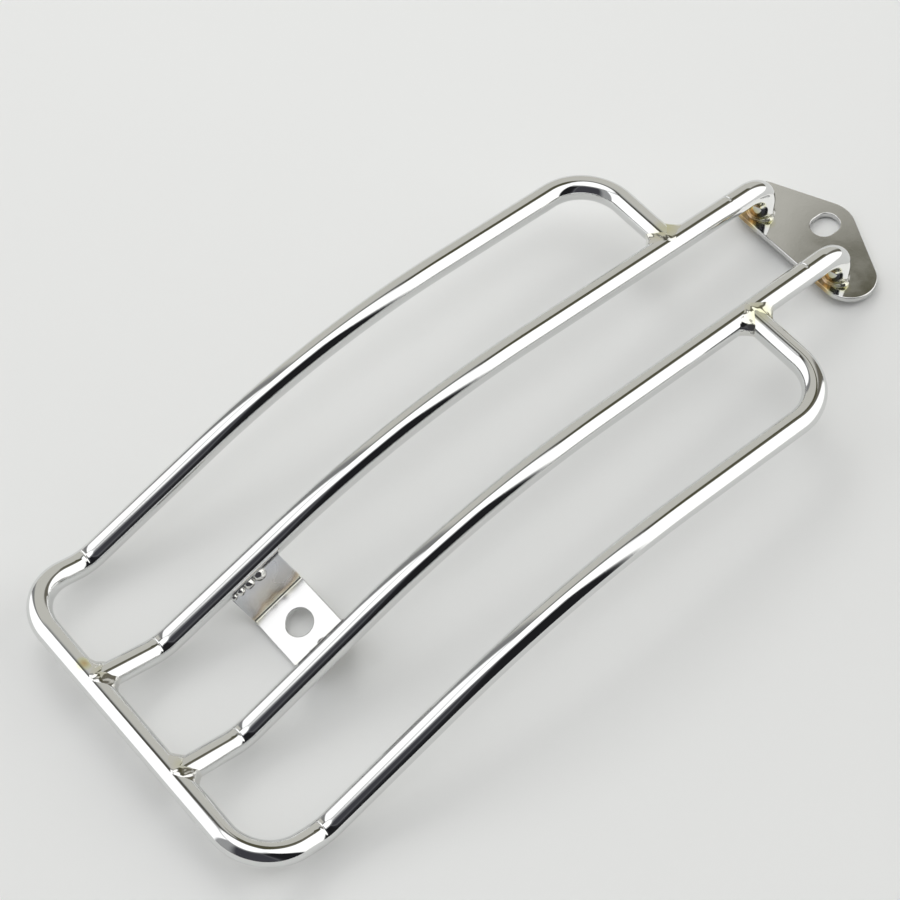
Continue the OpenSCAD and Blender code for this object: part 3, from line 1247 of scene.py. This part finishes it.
@dataclass
class FlangeWeld:
    """Row of lumps where a flange of the bracket meets its inner rail.

    Attributes:
        plan: Sizes of the rack.
        side: Left or right flange.
        seed: Offset into the noise.
        lump_small: Radius of the smallest lump.
        lump_big: Radius of the largest one.
        lump_overlap: Distance between two lumps, as a share of both radii.
        count: Number of lumps.
        merge: Power with which the lumps flow together; higher keeps them apart.
        core: Share of its radius that the bead has before its roughness.
        rough: Height of the roughness, as a share of the radius.
        grain_along: Length of the roughness's grain along the seam.
        grain_around: How fast it changes around the bead.
        tip_gap: Distance under which points at the bead's ends run together.
        rings: Rings along the seam, less one.
        sides: Points around the bead.
    """

    plan: RackPlan
    side: Side
    seed: float
    lump_small: float = 1.5
    lump_big: float = 3.0
    lump_overlap: float = 0.94
    count: int = 4
    merge: int = 6
    core: float = 0.94
    rough: float = 0.1
    grain_along: float = 1.6
    grain_around: float = 1.5
    tip_gap: float = 0.003
    rings: int = 120
    sides: int = 44

    @property
    def lumps(self) -> list[Lump]:
        """The lumps of the bead.

        Returns:
            The lumps from the strip's rear edge to the front, each larger than the last.
        """
        made = [Lump(self.lump_small - self.plan.strip_w / 2, self.lump_small)]
        for index in range(1, self.count):
            growth = (self.lump_big - self.lump_small) * index / (self.count - 1)
            last, radius = made[-1], self.lump_small + growth
            made.append(Lump(last.along + self.lump_overlap * (last.radius + radius), radius))
        return made

    def radius_at(self, lumps: Sequence[Lump], along: float) -> float:
        """Radius of the bead at a place along the seam, where the lumps flow together.

        Args:
            lumps: The lumps.
            along: The place.

        Returns:
            The radius, in millimetres.
        """
        total = 0.0
        for lump in lumps:
            offset = (along - lump.along) / lump.radius
            if abs(offset) < 1:
                total += (lump.radius * math.sqrt(1 - offset * offset)) ** self.merge
        return total ** (1 / self.merge)

    def build(self, maker: MeshMaker, material: bpy.types.Material) -> bpy.types.Object:
        """Lays the lumps along the seam.

        Args:
            maker: Hands the piece over in the row frame.
            material: Material of the piece.

        Returns:
            The piece.
        """
        plan = self.plan
        lean = math.radians(plan.flange_lean)
        meet = plan.rod_r * math.sin(math.acos(plan.flange_miss / plan.rod_r))
        rail = plan.on_inner(plan.strip_mid, Side.RIGHT).x
        seam_x = rail - plan.flange_miss * math.cos(lean) - meet * math.sin(lean)
        seam_z = plan.bracket_h + plan.flange_miss * math.sin(lean) - meet * math.cos(lean)
        lumps = self.lumps
        start = lumps[0].along - lumps[0].radius
        end = lumps[-1].along + lumps[-1].radius
        bm = bmesh.new()
        rings = []
        for index in range(self.rings + 1):
            share = (1 - math.cos(math.pi * index / self.rings)) / 2
            along = start + (end - start) * share
            radius = self.radius_at(lumps, along)
            ring = []
            for spoke in range(self.sides):
                angle = 2 * math.pi * spoke / self.sides
                normal = Vector((math.cos(angle), 0.0, math.sin(angle)))
                place = Vector((along / self.grain_along, self.grain_around * normal.x,
                                self.grain_around * normal.z + self.seed))
                reach = radius * (self.core + self.rough * noise.noise(place))
                centre = Vector((self.side.value * seam_x, along, seam_z))
                ring.append(bm.verts.new(centre + reach * normal))
            rings.append(ring)
        join_rings(bm, rings)
        bmesh.ops.remove_doubles(bm, verts=bm.verts, dist=self.tip_gap)
        bmesh.ops.recalc_face_normals(bm, faces=bm.faces)
        bmesh.ops.transform(bm, matrix=plan.bracket_frame, verts=bm.verts)
        name, node = f"flange_bead_{self.side.label}", f"bracket_weld_{self.side.label}"
        return maker.finish_piece(bm, name, material, [node])


@dataclass
class WeldWork:
    """All the welds of the rack, and the heat that they have left.

    Attributes:
        plan: Sizes of the rack.
        hoop_seed: Offset into the noise of the hoop's beads.
        crossbar_seed: Offset into the noise of the cross-bar's beads.
        foot_seed: Offset into the noise of the legs' beads.
        flange_seed: Offset into the noise of the flanges' beads.
    """

    plan: RackPlan
    hoop_seed: float = 4.0
    crossbar_seed: float = 8.0
    foot_seed: float = 5.0
    flange_seed: float = 2.0

    @staticmethod
    def facing(at: Vector, x_axis: Vector, y_axis: Vector) -> Matrix:
        """Matrix that moves the origin to a point, with X and Y along two directions.

        Args:
            at: The point.
            x_axis: Direction for X.
            y_axis: Direction for Y.

        Returns:
            The matrix.
        """
        z_axis = x_axis.cross(y_axis)
        rows = [[x_axis[row], y_axis[row], z_axis[row], at[row]] for row in range(3)]
        return Matrix([*rows, [0.0, 0.0, 0.0, 1.0]])

    def hoop_weld(self, side: Side) -> TeeWeld:
        """Weld where a front leg of the hoop meets an inner rail.

        Args:
            side: Left or right weld.

        Returns:
            The weld.
        """
        joint = self.plan.on_inner((0.0, 0.0), side)
        place = self.facing(joint, Vector((0.0, side.value, 0.0)), UP)
        return TeeWeld(f"hoop_bead_{side.label}", f"hoop_weld_{side.label}", place,
                       self.hoop_seed + side.value)

    def crossbar_weld(self, side: Side) -> TeeWeld:
        """Weld where an inner rail meets the cross-bar.

        Args:
            side: Left or right weld.

        Returns:
            The weld.
        """
        joint = self.plan.on_inner(self.plan.tail_end, side)
        along = (self.plan.on_inner(self.plan.kick_corner, side) - joint).normalized()
        aside = Vector((1.0, 0.0, 0.0))
        aside = (aside - aside.dot(along) * along).normalized()
        place = self.facing(joint, aside, along.cross(aside))
        return TeeWeld(f"crossbar_bead_{side.label}", f"crossbar_weld_{side.label}", place,
                       self.crossbar_seed + side.value, corner_leg=4.2, top_leg=3.3,
                       top_lift=1.6, fullness=0.65, lumps=0.5)

    def heat_spots(self) -> list[HeatSpot]:
        """Where the welds have tinted the metal around them.

        Returns:
            Every warmed place, in the rack's frame.
        """
        plan = self.plan
        bead, plate, rod, strip = (Slot.WELD,), (Slot.PLATE,), (Slot.ROD,), (Slot.STRIP,)
        ahead = Vector((0.0, plan.rear_along.x, plan.rear_along.y))
        spots = []
        for side in Side:
            foot = plan.on_inner((plan.leg_reach, plan.plate_top), side)
            behind = foot + Vector((-1.0, -6.5, 0.0))
            beside = foot + Vector((6.0, -2.0, 0.0))
            hoop_side = plan.on_inner((0.0, 0.0), side) + Vector((side.value * 5.5, 1.0, 3.0))
            tail = plan.on_inner(plan.tail_end, side) + Vector((0.0, 4.0, 4.0))
            flange = plan.on_inner(plan.strip_mid, side) + Vector((-side.value * 3.0, 0.0, -6.0))
            spots += [
                HeatSpot(behind, reach=10.0, peak=0.60, slots=plate),
                HeatSpot(behind, reach=10.0, peak=0.62, slots=bead + rod),
                HeatSpot(beside, reach=6.0, peak=0.24, slots=bead + plate),
                HeatSpot(hoop_side, reach=12.0, peak=0.27, slots=bead),
                HeatSpot(hoop_side, reach=9.0, peak=0.24, slots=rod),
                HeatSpot(tail, reach=8.0, peak=0.16, slots=bead),
                HeatSpot(flange, reach=17.0, peak=1.7, slots=strip),
                HeatSpot(flange + 9.0 * ahead, reach=17.0, peak=2.4, slots=strip),
                HeatSpot(flange - 9.0 * ahead, reach=17.0, peak=2.4, slots=strip),
            ]
        left_tail = plan.on_inner(plan.tail_end, Side.LEFT) + Vector((-6.5, 1.0, 4.5))
        return [*spots, HeatSpot(left_tail, reach=5.0, peak=0.40, slots=rod)]

    def build(self, maker: MeshMaker, material: bpy.types.Material) -> None:
        """Lays every bead.

        Args:
            maker: Hands the pieces over in the row frame.
            material: Material of the pieces.
        """
        for side in Side:
            self.hoop_weld(side).build(maker, material)
            self.crossbar_weld(side).build(maker, material)
            FootWeld(self.plan, side, self.foot_seed + side.value).build(maker, material)
            FlangeWeld(self.plan, side, self.flange_seed + side.value).build(maker, material)


# Finishes


@dataclass
class NodeDesk:
    """Adds and joins shader nodes in one node tree."""

    tree: bpy.types.NodeTree

    def node(self, kind: str, label: str = "") -> bpy.types.Node:
        """New node of a kind.

        Args:
            kind: Its type.
            label: Label that it shows.

        Returns:
            The node.
        """
        made = self.tree.nodes.new(kind)
        made.label = label
        return made

    def link(self, source: bpy.types.NodeSocket, target: bpy.types.NodeSocket) -> None:
        """Joins two sockets."""
        self.tree.links.new(source, target)

    def feed(self, target: bpy.types.NodeSocket, value: Value) -> None:
        """Gives a socket a number, or joins it to another socket.

        Args:
            target: The socket.
            value: The number or the other socket.
        """
        if isinstance(value, bpy.types.NodeSocket):
            self.link(value, target)
        else:
            target.default_value = value

    def math(self, operation: str, first: Value, second: Value = 0.0,
             clamp: bool = False) -> bpy.types.NodeSocket:
        """Result of a sum on one or two values.

        Args:
            operation: Kind of sum.
            first: First value.
            second: Second value.
            clamp: True to keep the result between 0 and 1.

        Returns:
            The result.
        """
        made = self.node("ShaderNodeMath")
        made.operation = operation
        made.use_clamp = clamp
        self.feed(made.inputs[0], first)
        self.feed(made.inputs[1], second)
        return made.outputs[0]

    def ramp(self, value: bpy.types.NodeSocket, low: Value, high: Value, to_low: float = 0.0,
             to_high: float = 1.0) -> bpy.types.NodeSocket:
        """Smooth change from to_low to to_high as a value goes from low to high.

        Args:
            value: The value.
            low: Where the change starts.
            high: Where it ends.
            to_low: Result up to low.
            to_high: Result from high on.

        Returns:
            The result.
        """
        made = self.node("ShaderNodeMapRange")
        made.interpolation_type = "SMOOTHSTEP"
        self.link(value, made.inputs["Value"])
        self.feed(made.inputs["From Min"], low)
        self.feed(made.inputs["From Max"], high)
        made.inputs["To Min"].default_value = to_low
        made.inputs["To Max"].default_value = to_high
        return made.outputs["Result"]

    def mix(self, share: Value, first: Tone, second: Tone) -> bpy.types.NodeSocket:
        """Mix of two colours.

        Args:
            share: Share of the second colour.
            first: First colour.
            second: Second colour.

        Returns:
            The mixed colour.
        """
        made = self.node("ShaderNodeMix")
        made.data_type = "RGBA"
        self.feed(made.inputs["Factor"], share)
        for name, colour in (("A", first), ("B", second)):
            socket = next(s for s in made.inputs if s.name == name and s.type == "RGBA")
            joined = isinstance(colour, bpy.types.NodeSocket)
            self.feed(socket, colour if joined else (*colour, 1.0))
        return next(s for s in made.outputs if s.type == "RGBA")

    def noise(self, place: bpy.types.NodeSocket, scale: float,
              detail: float = 2.0) -> bpy.types.NodeSocket:
        """Value of a noise texture.

        Args:
            place: Place in the texture.
            scale: Its scale.
            detail: Number of finer layers.

        Returns:
            The value.
        """
        made = self.node("ShaderNodeTexNoise")
        made.inputs["Scale"].default_value = scale
        made.inputs["Detail"].default_value = detail
        self.link(place, made.inputs["Vector"])
        return made.outputs["Fac"]


def new_group(name: str, inputs: Sequence[tuple[str, str]],
              outputs: Sequence[tuple[str, str]]) -> tuple[bpy.types.NodeTree, NodeDesk]:
    """Empty shader node group with its sockets.

    Args:
        name: Name of the group.
        inputs: Name and socket type of each input.
        outputs: Name and socket type of each output.

    Returns:
        The group and a desk to work on it.
    """
    tree = bpy.data.node_groups.new(name, "ShaderNodeTree")
    for label, kind in inputs:
        tree.interface.new_socket(label, in_out="INPUT", socket_type=kind)
    for label, kind in outputs:
        tree.interface.new_socket(label, in_out="OUTPUT", socket_type=kind)
    return tree, NodeDesk(tree)


FLOAT, COLOUR, VECTOR = "NodeSocketFloat", "NodeSocketColor", "NodeSocketVector"
# Polishing marks: their stretch along the rod, the pits' scale and the heights of both grains
LONG_MARKS = (0.25, 3.0, 1.0)
PIT_SCALE = 0.9
LINE_HEIGHT = 0.35
GRAIN_HEIGHT = 0.25
# Heat tint: the roughness that full warmth adds, and the colour that each warmth gives
WARM_ROUGHNESS = 0.08
PLAIN = (1.0, 1.0, 1.0, 1.0)
BLUE_GREY = (0.70, 0.73, 0.78, 1.0)
TEMPER_COLOURS = (
    (0.08, PLAIN),
    (0.25, (0.95, 0.94, 0.68, 1.0)),
    (0.42, (0.84, 0.64, 0.34, 1.0)),
    (0.56, (0.50, 0.35, 0.18, 1.0)),
    (0.72, (0.66, 0.62, 0.60, 1.0)),
)


def polish_marks_group() -> bpy.types.NodeTree:
    """Group that gives the height of fine polishing marks and pits in plated steel.

    Returns:
        The group.
    """
    tree, desk = new_group("Polish marks", [("Place", VECTOR), ("Pits", FLOAT)],
                           [("Height", FLOAT), ("Haze", FLOAT)])
    given = desk.node("NodeGroupInput")
    result = desk.node("NodeGroupOutput")
    stretch = desk.node("ShaderNodeVectorMath", "Long marks")
    stretch.operation = "MULTIPLY"
    stretch.inputs[1].default_value = LONG_MARKS
    desk.link(given.outputs["Place"], stretch.inputs[0])
    lines = desk.noise(stretch.outputs["Vector"], scale=1.6, detail=5.0)
    grain = desk.noise(given.outputs["Place"], scale=2.4, detail=3.0)
    cells = desk.node("ShaderNodeTexVoronoi", "Pits")
    cells.inputs["Scale"].default_value = PIT_SCALE
    desk.link(given.outputs["Place"], cells.inputs["Vector"])
    pit = desk.ramp(cells.outputs["Distance"], low=0.05, high=0.13)
    rare = desk.ramp(desk.noise(given.outputs["Place"], scale=0.5), low=0.56, high=0.62)
    pit_depth = desk.math("MULTIPLY", desk.math("MULTIPLY", pit, rare), given.outputs["Pits"])
    height = desk.math("ADD", desk.math("MULTIPLY", lines, LINE_HEIGHT),
                       desk.math("MULTIPLY", grain, GRAIN_HEIGHT))
    desk.link(desk.math("ADD", height, pit_depth), result.inputs["Height"])
    clouds = desk.noise(given.outputs["Place"], scale=0.09, detail=4.0)
    haze = desk.ramp(clouds, low=0.35, high=0.75)
    desk.link(haze, result.inputs["Haze"])
    return tree


def weld_heat_group(slot: Slot, spots: Sequence[HeatSpot], to_row: Matrix) -> bpy.types.NodeTree:
    """Group that gives how warm welding has made the pieces of a slot at a place.

    Args:
        slot: Slot of the pieces.
        spots: Every warmed place, in the rack's frame.
        to_row: Matrix from the rack's frame to the row frame.

    Returns:
        The group.
    """
    tree, desk = new_group(f"Weld heat, {slot.value}", [("Place", VECTOR)], [("Heat", FLOAT)])
    given = desk.node("NodeGroupInput")
    result = desk.node("NodeGroupOutput")
    warmest: Value = 0.0
    for spot in spots:
        if slot in spot.slots:
            away = desk.node("ShaderNodeVectorMath", "Distance")
            away.operation = "DISTANCE"
            desk.link(given.outputs["Place"], away.inputs[0])
            away.inputs[1].default_value = to_row @ spot.centre
            warm = desk.ramp(away.outputs["Value"], low=0.0, high=spot.reach * MM,
                             to_low=spot.peak, to_high=0.0)
            warmest = desk.math("MAXIMUM", warm, warmest)
    desk.link(warmest, result.inputs["Heat"])
    return tree


def heat_tint_group() -> bpy.types.NodeTree:
    """Group that turns a metal's colour straw, brown and blue-grey where welding has warmed it.

    Returns:
        The group.
    """
    inputs = [("Metal", COLOUR), ("Place", VECTOR), ("Heat", FLOAT), ("Strength", FLOAT)]
    tree, desk = new_group("Heat tint", inputs, [("Colour", COLOUR), ("Warmth", FLOAT)])
    given = desk.node("NodeGroupInput")
    result = desk.node("NodeGroupOutput")
    patches = desk.noise(given.outputs["Place"], scale=0.22, detail=3.0)
    broken = desk.ramp(patches, low=0.1, high=0.5, to_low=0.75, to_high=1.0)
    warmth = desk.math("MULTIPLY", given.outputs["Heat"], broken, clamp=True)
    colours = desk.node("ShaderNodeValToRGB", "Temper colours")
    stops = colours.color_ramp.elements
    stops[0].color, stops[1].color = PLAIN, BLUE_GREY
    for place, colour in TEMPER_COLOURS:
        stops.new(place).color = colour
    desk.link(warmth, colours.inputs["Fac"])
    shaded = desk.node("ShaderNodeVectorMath", "Tinted metal")
    shaded.operation = "MULTIPLY"
    desk.link(given.outputs["Metal"], shaded.inputs[0])
    desk.link(colours.outputs["Color"], shaded.inputs[1])
    mixed = desk.mix(given.outputs["Strength"], given.outputs["Metal"], shaded.outputs["Vector"])
    desk.link(mixed, result.inputs["Colour"])
    desk.link(warmth, result.inputs["Warmth"])
    return tree


@dataclass(frozen=True)
class PlatedFinish:
    """Bright plating over steel.

    Attributes:
        name: Name of the material.
        colour: Colour of the plating.
        roughness: Roughness of clean plating.
        haze: How much roughness the hazy spots add.
        relief: Depth of the polishing marks, in millimetres.
        pits: Depth of the pits as a share of the relief.
        slot: Slot of the pieces that it is on.
        tint: Strength of the heat tint.
        along: True if its marks run along the piece.
    """

    name: str
    colour: Colour
    roughness: float
    haze: float
    relief: float
    pits: float
    slot: Slot
    tint: float = 1.0
    along: bool = False

    def build(self, marks: bpy.types.NodeTree, heat: bpy.types.NodeTree,
              warm: bpy.types.NodeTree) -> bpy.types.Material:
        """Makes the material.

        Args:
            marks: The polish marks group.
            heat: The heat tint group.
            warm: The weld heat group of its slot.

        Returns:
            The material.
        """
        material = bpy.data.materials.new(self.name)
        material.use_nodes = True
        material.node_tree.nodes.clear()
        desk = NodeDesk(material.node_tree)
        output = desk.node("ShaderNodeOutputMaterial")
        metal = desk.node("ShaderNodeBsdfPrincipled")
        metal.inputs["Metallic"].default_value = 1.0
        place = desk.node("ShaderNodeTexCoord")
        to_mm = desk.node("ShaderNodeVectorMath", "Millimetres")
        to_mm.operation = "SCALE"
        to_mm.inputs["Scale"].default_value = 1 / MM
        desk.link(place.outputs["Object"], to_mm.inputs[0])
        source = to_mm.outputs["Vector"]
        if self.along:
            laid_out = desk.node("ShaderNodeUVMap")
            laid_out.uv_map = "Along"
            source = laid_out.outputs["UV"]
        polish = desk.node("ShaderNodeGroup", "Polish marks")
        polish.node_tree = marks
        polish.inputs["Pits"].default_value = self.pits
        desk.link(source, polish.inputs["Place"])
        tinted = desk.node("ShaderNodeGroup", "Heat tint")
        tinted.node_tree = heat
        tinted.inputs["Metal"].default_value = (*self.colour, 1.0)
        warmed = desk.node("ShaderNodeGroup", "Weld heat")
        warmed.node_tree = warm
        desk.link(place.outputs["Object"], warmed.inputs["Place"])
        desk.link(warmed.outputs["Heat"], tinted.inputs["Heat"])
        tinted.inputs["Strength"].default_value = self.tint
        desk.link(to_mm.outputs["Vector"], tinted.inputs["Place"])
        bump = desk.node("ShaderNodeBump")
        bump.inputs["Distance"].default_value = self.relief * MM
        desk.link(polish.outputs["Height"], bump.inputs["Height"])
        rough = desk.math("MULTIPLY", polish.outputs["Haze"], self.haze)
        rough = desk.math("ADD", rough, self.roughness)
        warm_rough = desk.math("MULTIPLY", tinted.outputs["Warmth"], WARM_ROUGHNESS)
        desk.link(desk.math("ADD", rough, warm_rough), metal.inputs["Roughness"])
        desk.link(tinted.outputs["Colour"], metal.inputs["Base Color"])
        desk.link(bump.outputs["Normal"], metal.inputs["Normal"])
        desk.link(metal.outputs["BSDF"], output.inputs["Surface"])
        return material


ROD_FINISH = PlatedFinish("Bright plated rod", (0.74, 0.745, 0.74), roughness=0.03, haze=0.035,
                          relief=0.0025, pits=0.4, slot=Slot.ROD, along=True)
PLATE_FINISH = PlatedFinish("Plated plate", (0.70, 0.70, 0.69), roughness=0.07, haze=0.05,
                            relief=0.001, pits=0.5, slot=Slot.PLATE)
STRIP_FINISH = PlatedFinish("Plated strip", (0.74, 0.74, 0.735), roughness=0.16, haze=0.05,
                            relief=0.0015, pits=0.5, slot=Slot.STRIP, tint=0.55)
WELD_FINISH = PlatedFinish("Plated weld", (0.74, 0.735, 0.71), roughness=0.05, haze=0.08,
                           relief=0.006, pits=1.0, slot=Slot.WELD)


# Light and camera


@dataclass(frozen=True)
class Wall:
    """Patch of the room that the plating mirrors.

    Attributes:
        name: What stands there.
        west: Bearing of its left border from the rack's front, in degrees.
        east: Bearing of its right border.
        low: Height of its lower border over the horizon, in degrees.
        high: Height of its upper border.
        colour: How bright it is.
        soft: Half width of its borders, in degrees.
    """

    name: str
    west: float
    east: float
    low: float
    high: float
    colour: Colour
    soft: float


# Walls of the room; each one covers those before it
WALLS = (
    Wall("pale front wall", -88, -14, -40, 58, (0.64, 0.63, 0.58), 5),
    Wall("dark band over it", -97, 4, 61.5, 67.5, (0.09, 0.085, 0.07), 2),
    Wall("dark corner", -33, 2, 43.95, 64, (0.10, 0.095, 0.06), 1),
    Wall("left jamb", -98, -87, -30, 62, (0.25, 0.25, 0.25), 3),
    Wall("right jamb", -14, 2.5, -25, 56, (0.17, 0.16, 0.13), 4),
    Wall("left lamp cloth", -163, -98, -25, 66, (1.45, 1.45, 1.46), 2.5),
    Wall("right lamp cloth", 3, 71, -25, 70, (1.45, 1.45, 1.43), 2),
    Wall("dark doorway", 71, 104, -25, 62, (0.016, 0.016, 0.018), 3),
    Wall("dark room", 102, 170, -25, 64, (0.06, 0.06, 0.07), 8),
    Wall("ceiling", -400, 400, 69, 100, (1.5, 1.5, 1.5), 3),
)
WALL_BORDERS = ("West", "East", "Low", "High", "Soft")
BACKDROP_COLOUR = (0.74, 0.75, 0.74)
ROOM_COLOUR = (0.38, 0.385, 0.39)


def wall_mask_group() -> bpy.types.NodeTree:
    """Group that gives 1 inside a wall of the room, with soft borders.

    Returns:
        The group.
    """
    inputs = [(label, FLOAT) for label in ("Bearing", "Height", *WALL_BORDERS)]
    tree, desk = new_group("Wall mask", inputs, [("Mask", FLOAT)])
    given = desk.node("NodeGroupInput")
    result = desk.node("NodeGroupOutput")
    mask: Value = 1.0
    for value, borders in (("Bearing", ("West", "East")), ("Height", ("Low", "High"))):
        soft = given.outputs["Soft"]
        (low_start, low_end), (high_start, high_end) = (
            (desk.math("SUBTRACT", given.outputs[border], soft),
             desk.math("ADD", given.outputs[border], soft)) for border in borders)
        start = desk.ramp(given.outputs[value], low_start, low_end)
        stop = desk.ramp(given.outputs[value], high_start, high_end, to_low=1.0, to_high=0.0)
        mask = desk.math("MULTIPLY", desk.math("MULTIPLY", start, stop), mask)
    desk.link(mask, result.inputs["Mask"])
    return tree


@dataclass
class Room:
    """World around the rack, as it shows in the plating.

    Attributes:
        walls: Its walls; each one covers those before it.
    """

    walls: Sequence[Wall] = WALLS

    def build(self) -> None:
        """Makes the world out of its walls."""
        world = bpy.data.worlds.new("Room")
        bpy.context.scene.world = world
        world.use_nodes = True
        world.node_tree.nodes.clear()
        desk = NodeDesk(world.node_tree)
        group = wall_mask_group()
        way = desk.node("ShaderNodeTexCoord")
        axes = desk.node("ShaderNodeSeparateXYZ")
        desk.link(way.outputs["Generated"], axes.inputs["Vector"])
        bearing = desk.math("ARCTAN2", axes.outputs["X"], axes.outputs["Y"])
        bearing = desk.math("MULTIPLY", bearing, math.degrees(1))
        height = desk.math("MULTIPLY", desk.math("ARCSINE", axes.outputs["Z"]), math.degrees(1))
        colour: Tone = ROOM_COLOUR
        for wall in self.walls:
            mask = desk.node("ShaderNodeGroup", wall.name)
            mask.node_tree = group
            desk.link(bearing, mask.inputs["Bearing"])
            desk.link(height, mask.inputs["Height"])
            for label in WALL_BORDERS:
                mask.inputs[label].default_value = getattr(wall, label.lower())
            colour = desk.mix(mask.outputs["Mask"], colour, wall.colour)
        path = desk.node("ShaderNodeLightPath")
        background = desk.node("ShaderNodeBackground")
        background.inputs["Strength"].default_value = 1.0
        seen = desk.mix(path.outputs["Is Camera Ray"], colour, BACKDROP_COLOUR)
        desk.link(seen, background.inputs["Color"])
        output = desk.node("ShaderNodeOutputWorld")
        desk.link(background.outputs["Background"], output.inputs["Surface"])


@dataclass
class Studio:
    """Floor, key lamp and camera.

    Attributes:
        camera_place: Place of the camera, in metres.
        camera_turn: Turn of the camera about X, Y and Z, in degrees.
        lens: Focal length, in millimetres.
        sensor: Width of the sensor, in millimetres.
        clip: Nearest and farthest distance that the camera sees, in metres.
        floor_shade: How pale the paper is.
        paper_dark: Colour of its darker clouds, as shares of that shade.
        paper_light: Colour of its paler clouds, as shares of that shade.
        cloud_scale: Scale of the clouds.
        cloud_detail: Number of their finer layers.
        paper_roughness: Roughness of the paper.
        paper_gloss: How much it shines.
        floor_west: Where the paper ends in X, in metres.
        floor_east: Where it ends on the other side.
        floor_rear: Where it ends in Y, in metres.
        floor_front: Where it ends on the other side.
        lamp_place: Place of the lamp, in metres.
        lamp_power: Its power, in watts.
        lamp_size: Width of its square face, in metres.
    """

    camera_place: tuple[float, float, float] = (0.40697, -0.29738, 0.85930)
    camera_turn: tuple[float, float, float] = (30.8175, 3.6861, 50.1029)
    lens: float = 102.447
    sensor: float = 36.0
    clip: tuple[float, float] = (0.05, 10.0)
    floor_shade: float = 0.86
    paper_dark: Colour = (0.985, 0.99, 0.98)
    paper_light: Colour = (1.0, 1.01, 1.0)
    cloud_scale: float = 5.0
    cloud_detail: float = 3.0
    paper_roughness: float = 0.8
    paper_gloss: float = 0.1
    floor_west: float = -0.50
    floor_east: float = 0.26
    floor_rear: float = -0.42
    floor_front: float = 0.36
    lamp_place: tuple[float, float, float] = (-0.9, 0.35, 1.2)
    lamp_power: float = 3.2
    lamp_size: float = 0.7

    def floor(self) -> None:
        """Pale paper that the rack lies on."""
        bm = bmesh.new()
        corners = ((self.floor_west, self.floor_rear), (self.floor_east, self.floor_rear),
                   (self.floor_east, self.floor_front), (self.floor_west, self.floor_front))
        bm.faces.new([bm.verts.new((x, y, 0.0)) for x, y in corners])
        mesh = bpy.data.meshes.new("paper")
        bm.to_mesh(mesh)
        bm.free()
        paper = bpy.data.objects.new("paper", mesh)
        bpy.context.scene.collection.objects.link(paper)
        material = bpy.data.materials.new("Pale paper")
        material.use_nodes = True
        desk = NodeDesk(material.node_tree)
        surface = material.node_tree.nodes["Principled BSDF"]
        place = desk.node("ShaderNodeTexCoord")
        cloud = desk.noise(place.outputs["Object"], self.cloud_scale, self.cloud_detail)
        dark, light = (tuple(self.floor_shade * share for share in shares)
                       for shares in (self.paper_dark, self.paper_light))
        desk.link(desk.mix(cloud, dark, light), surface.inputs["Base Color"])
        surface.inputs["Roughness"].default_value = self.paper_roughness
        surface.inputs["Specular IOR Level"].default_value = self.paper_gloss
        mesh.materials.append(material)

    def lamp(self) -> None:
        """Soft key lamp that throws the shadows to the right and isn't mirrored."""
        light = bpy.data.lights.new("key lamp", "AREA")
        light.shape = "SQUARE"
        light.size = self.lamp_size
        light.energy = self.lamp_power
        lamp = bpy.data.objects.new("key lamp", light)
        lamp.location = self.lamp_place
        lamp.rotation_euler = (-Vector(self.lamp_place)).to_track_quat("-Z", "Y").to_euler()
        lamp.visible_glossy = False
        bpy.context.scene.collection.objects.link(lamp)

    def camera(self) -> None:
        """Camera at the photo's place."""
        data = bpy.data.cameras.new("camera")
        data.lens = self.lens
        data.sensor_width = self.sensor
        data.clip_start, data.clip_end = self.clip
        camera = bpy.data.objects.new("camera", data)
        camera.location = self.camera_place
        camera.rotation_euler = tuple(math.radians(angle) for angle in self.camera_turn)
        bpy.context.scene.collection.objects.link(camera)
        bpy.context.scene.camera = camera

    def build(self) -> None:
        """Sets up everything around the rack."""
        bpy.context.scene.view_settings.view_transform = "Standard"
        Room().build()
        self.floor()
        self.lamp()
        self.camera()


def main() -> None:
    """Builds the rack's looks on the frame."""
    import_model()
    plan = RackPlan()
    welds = WeldWork(plan)
    maker = MeshMaker(plan)
    marks, heat = polish_marks_group(), heat_tint_group()
    spots, to_row = welds.heat_spots(), plan.to_row()
    rod_metal, plate_metal, strip_metal, weld_metal = (
        finish.build(marks, heat, weld_heat_group(finish.slot, spots, to_row))
        for finish in (ROD_FINISH, PLATE_FINISH, STRIP_FINISH, WELD_FINISH))
    rods = RodWork(plan)
    for rod in (rods.hoop(), rods.inner(Side.LEFT), rods.inner(Side.RIGHT)):
        rod.build(maker, rod_metal)
    FrontPlate(plan).build(maker, plate_metal)
    RearBracket(plan).build(maker, strip_metal)
    welds.build(maker, weld_metal)
    Studio().build()


if __name__ == "__main__":
    logging.basicConfig(level=logging.INFO, format="%(message)s")
    main()
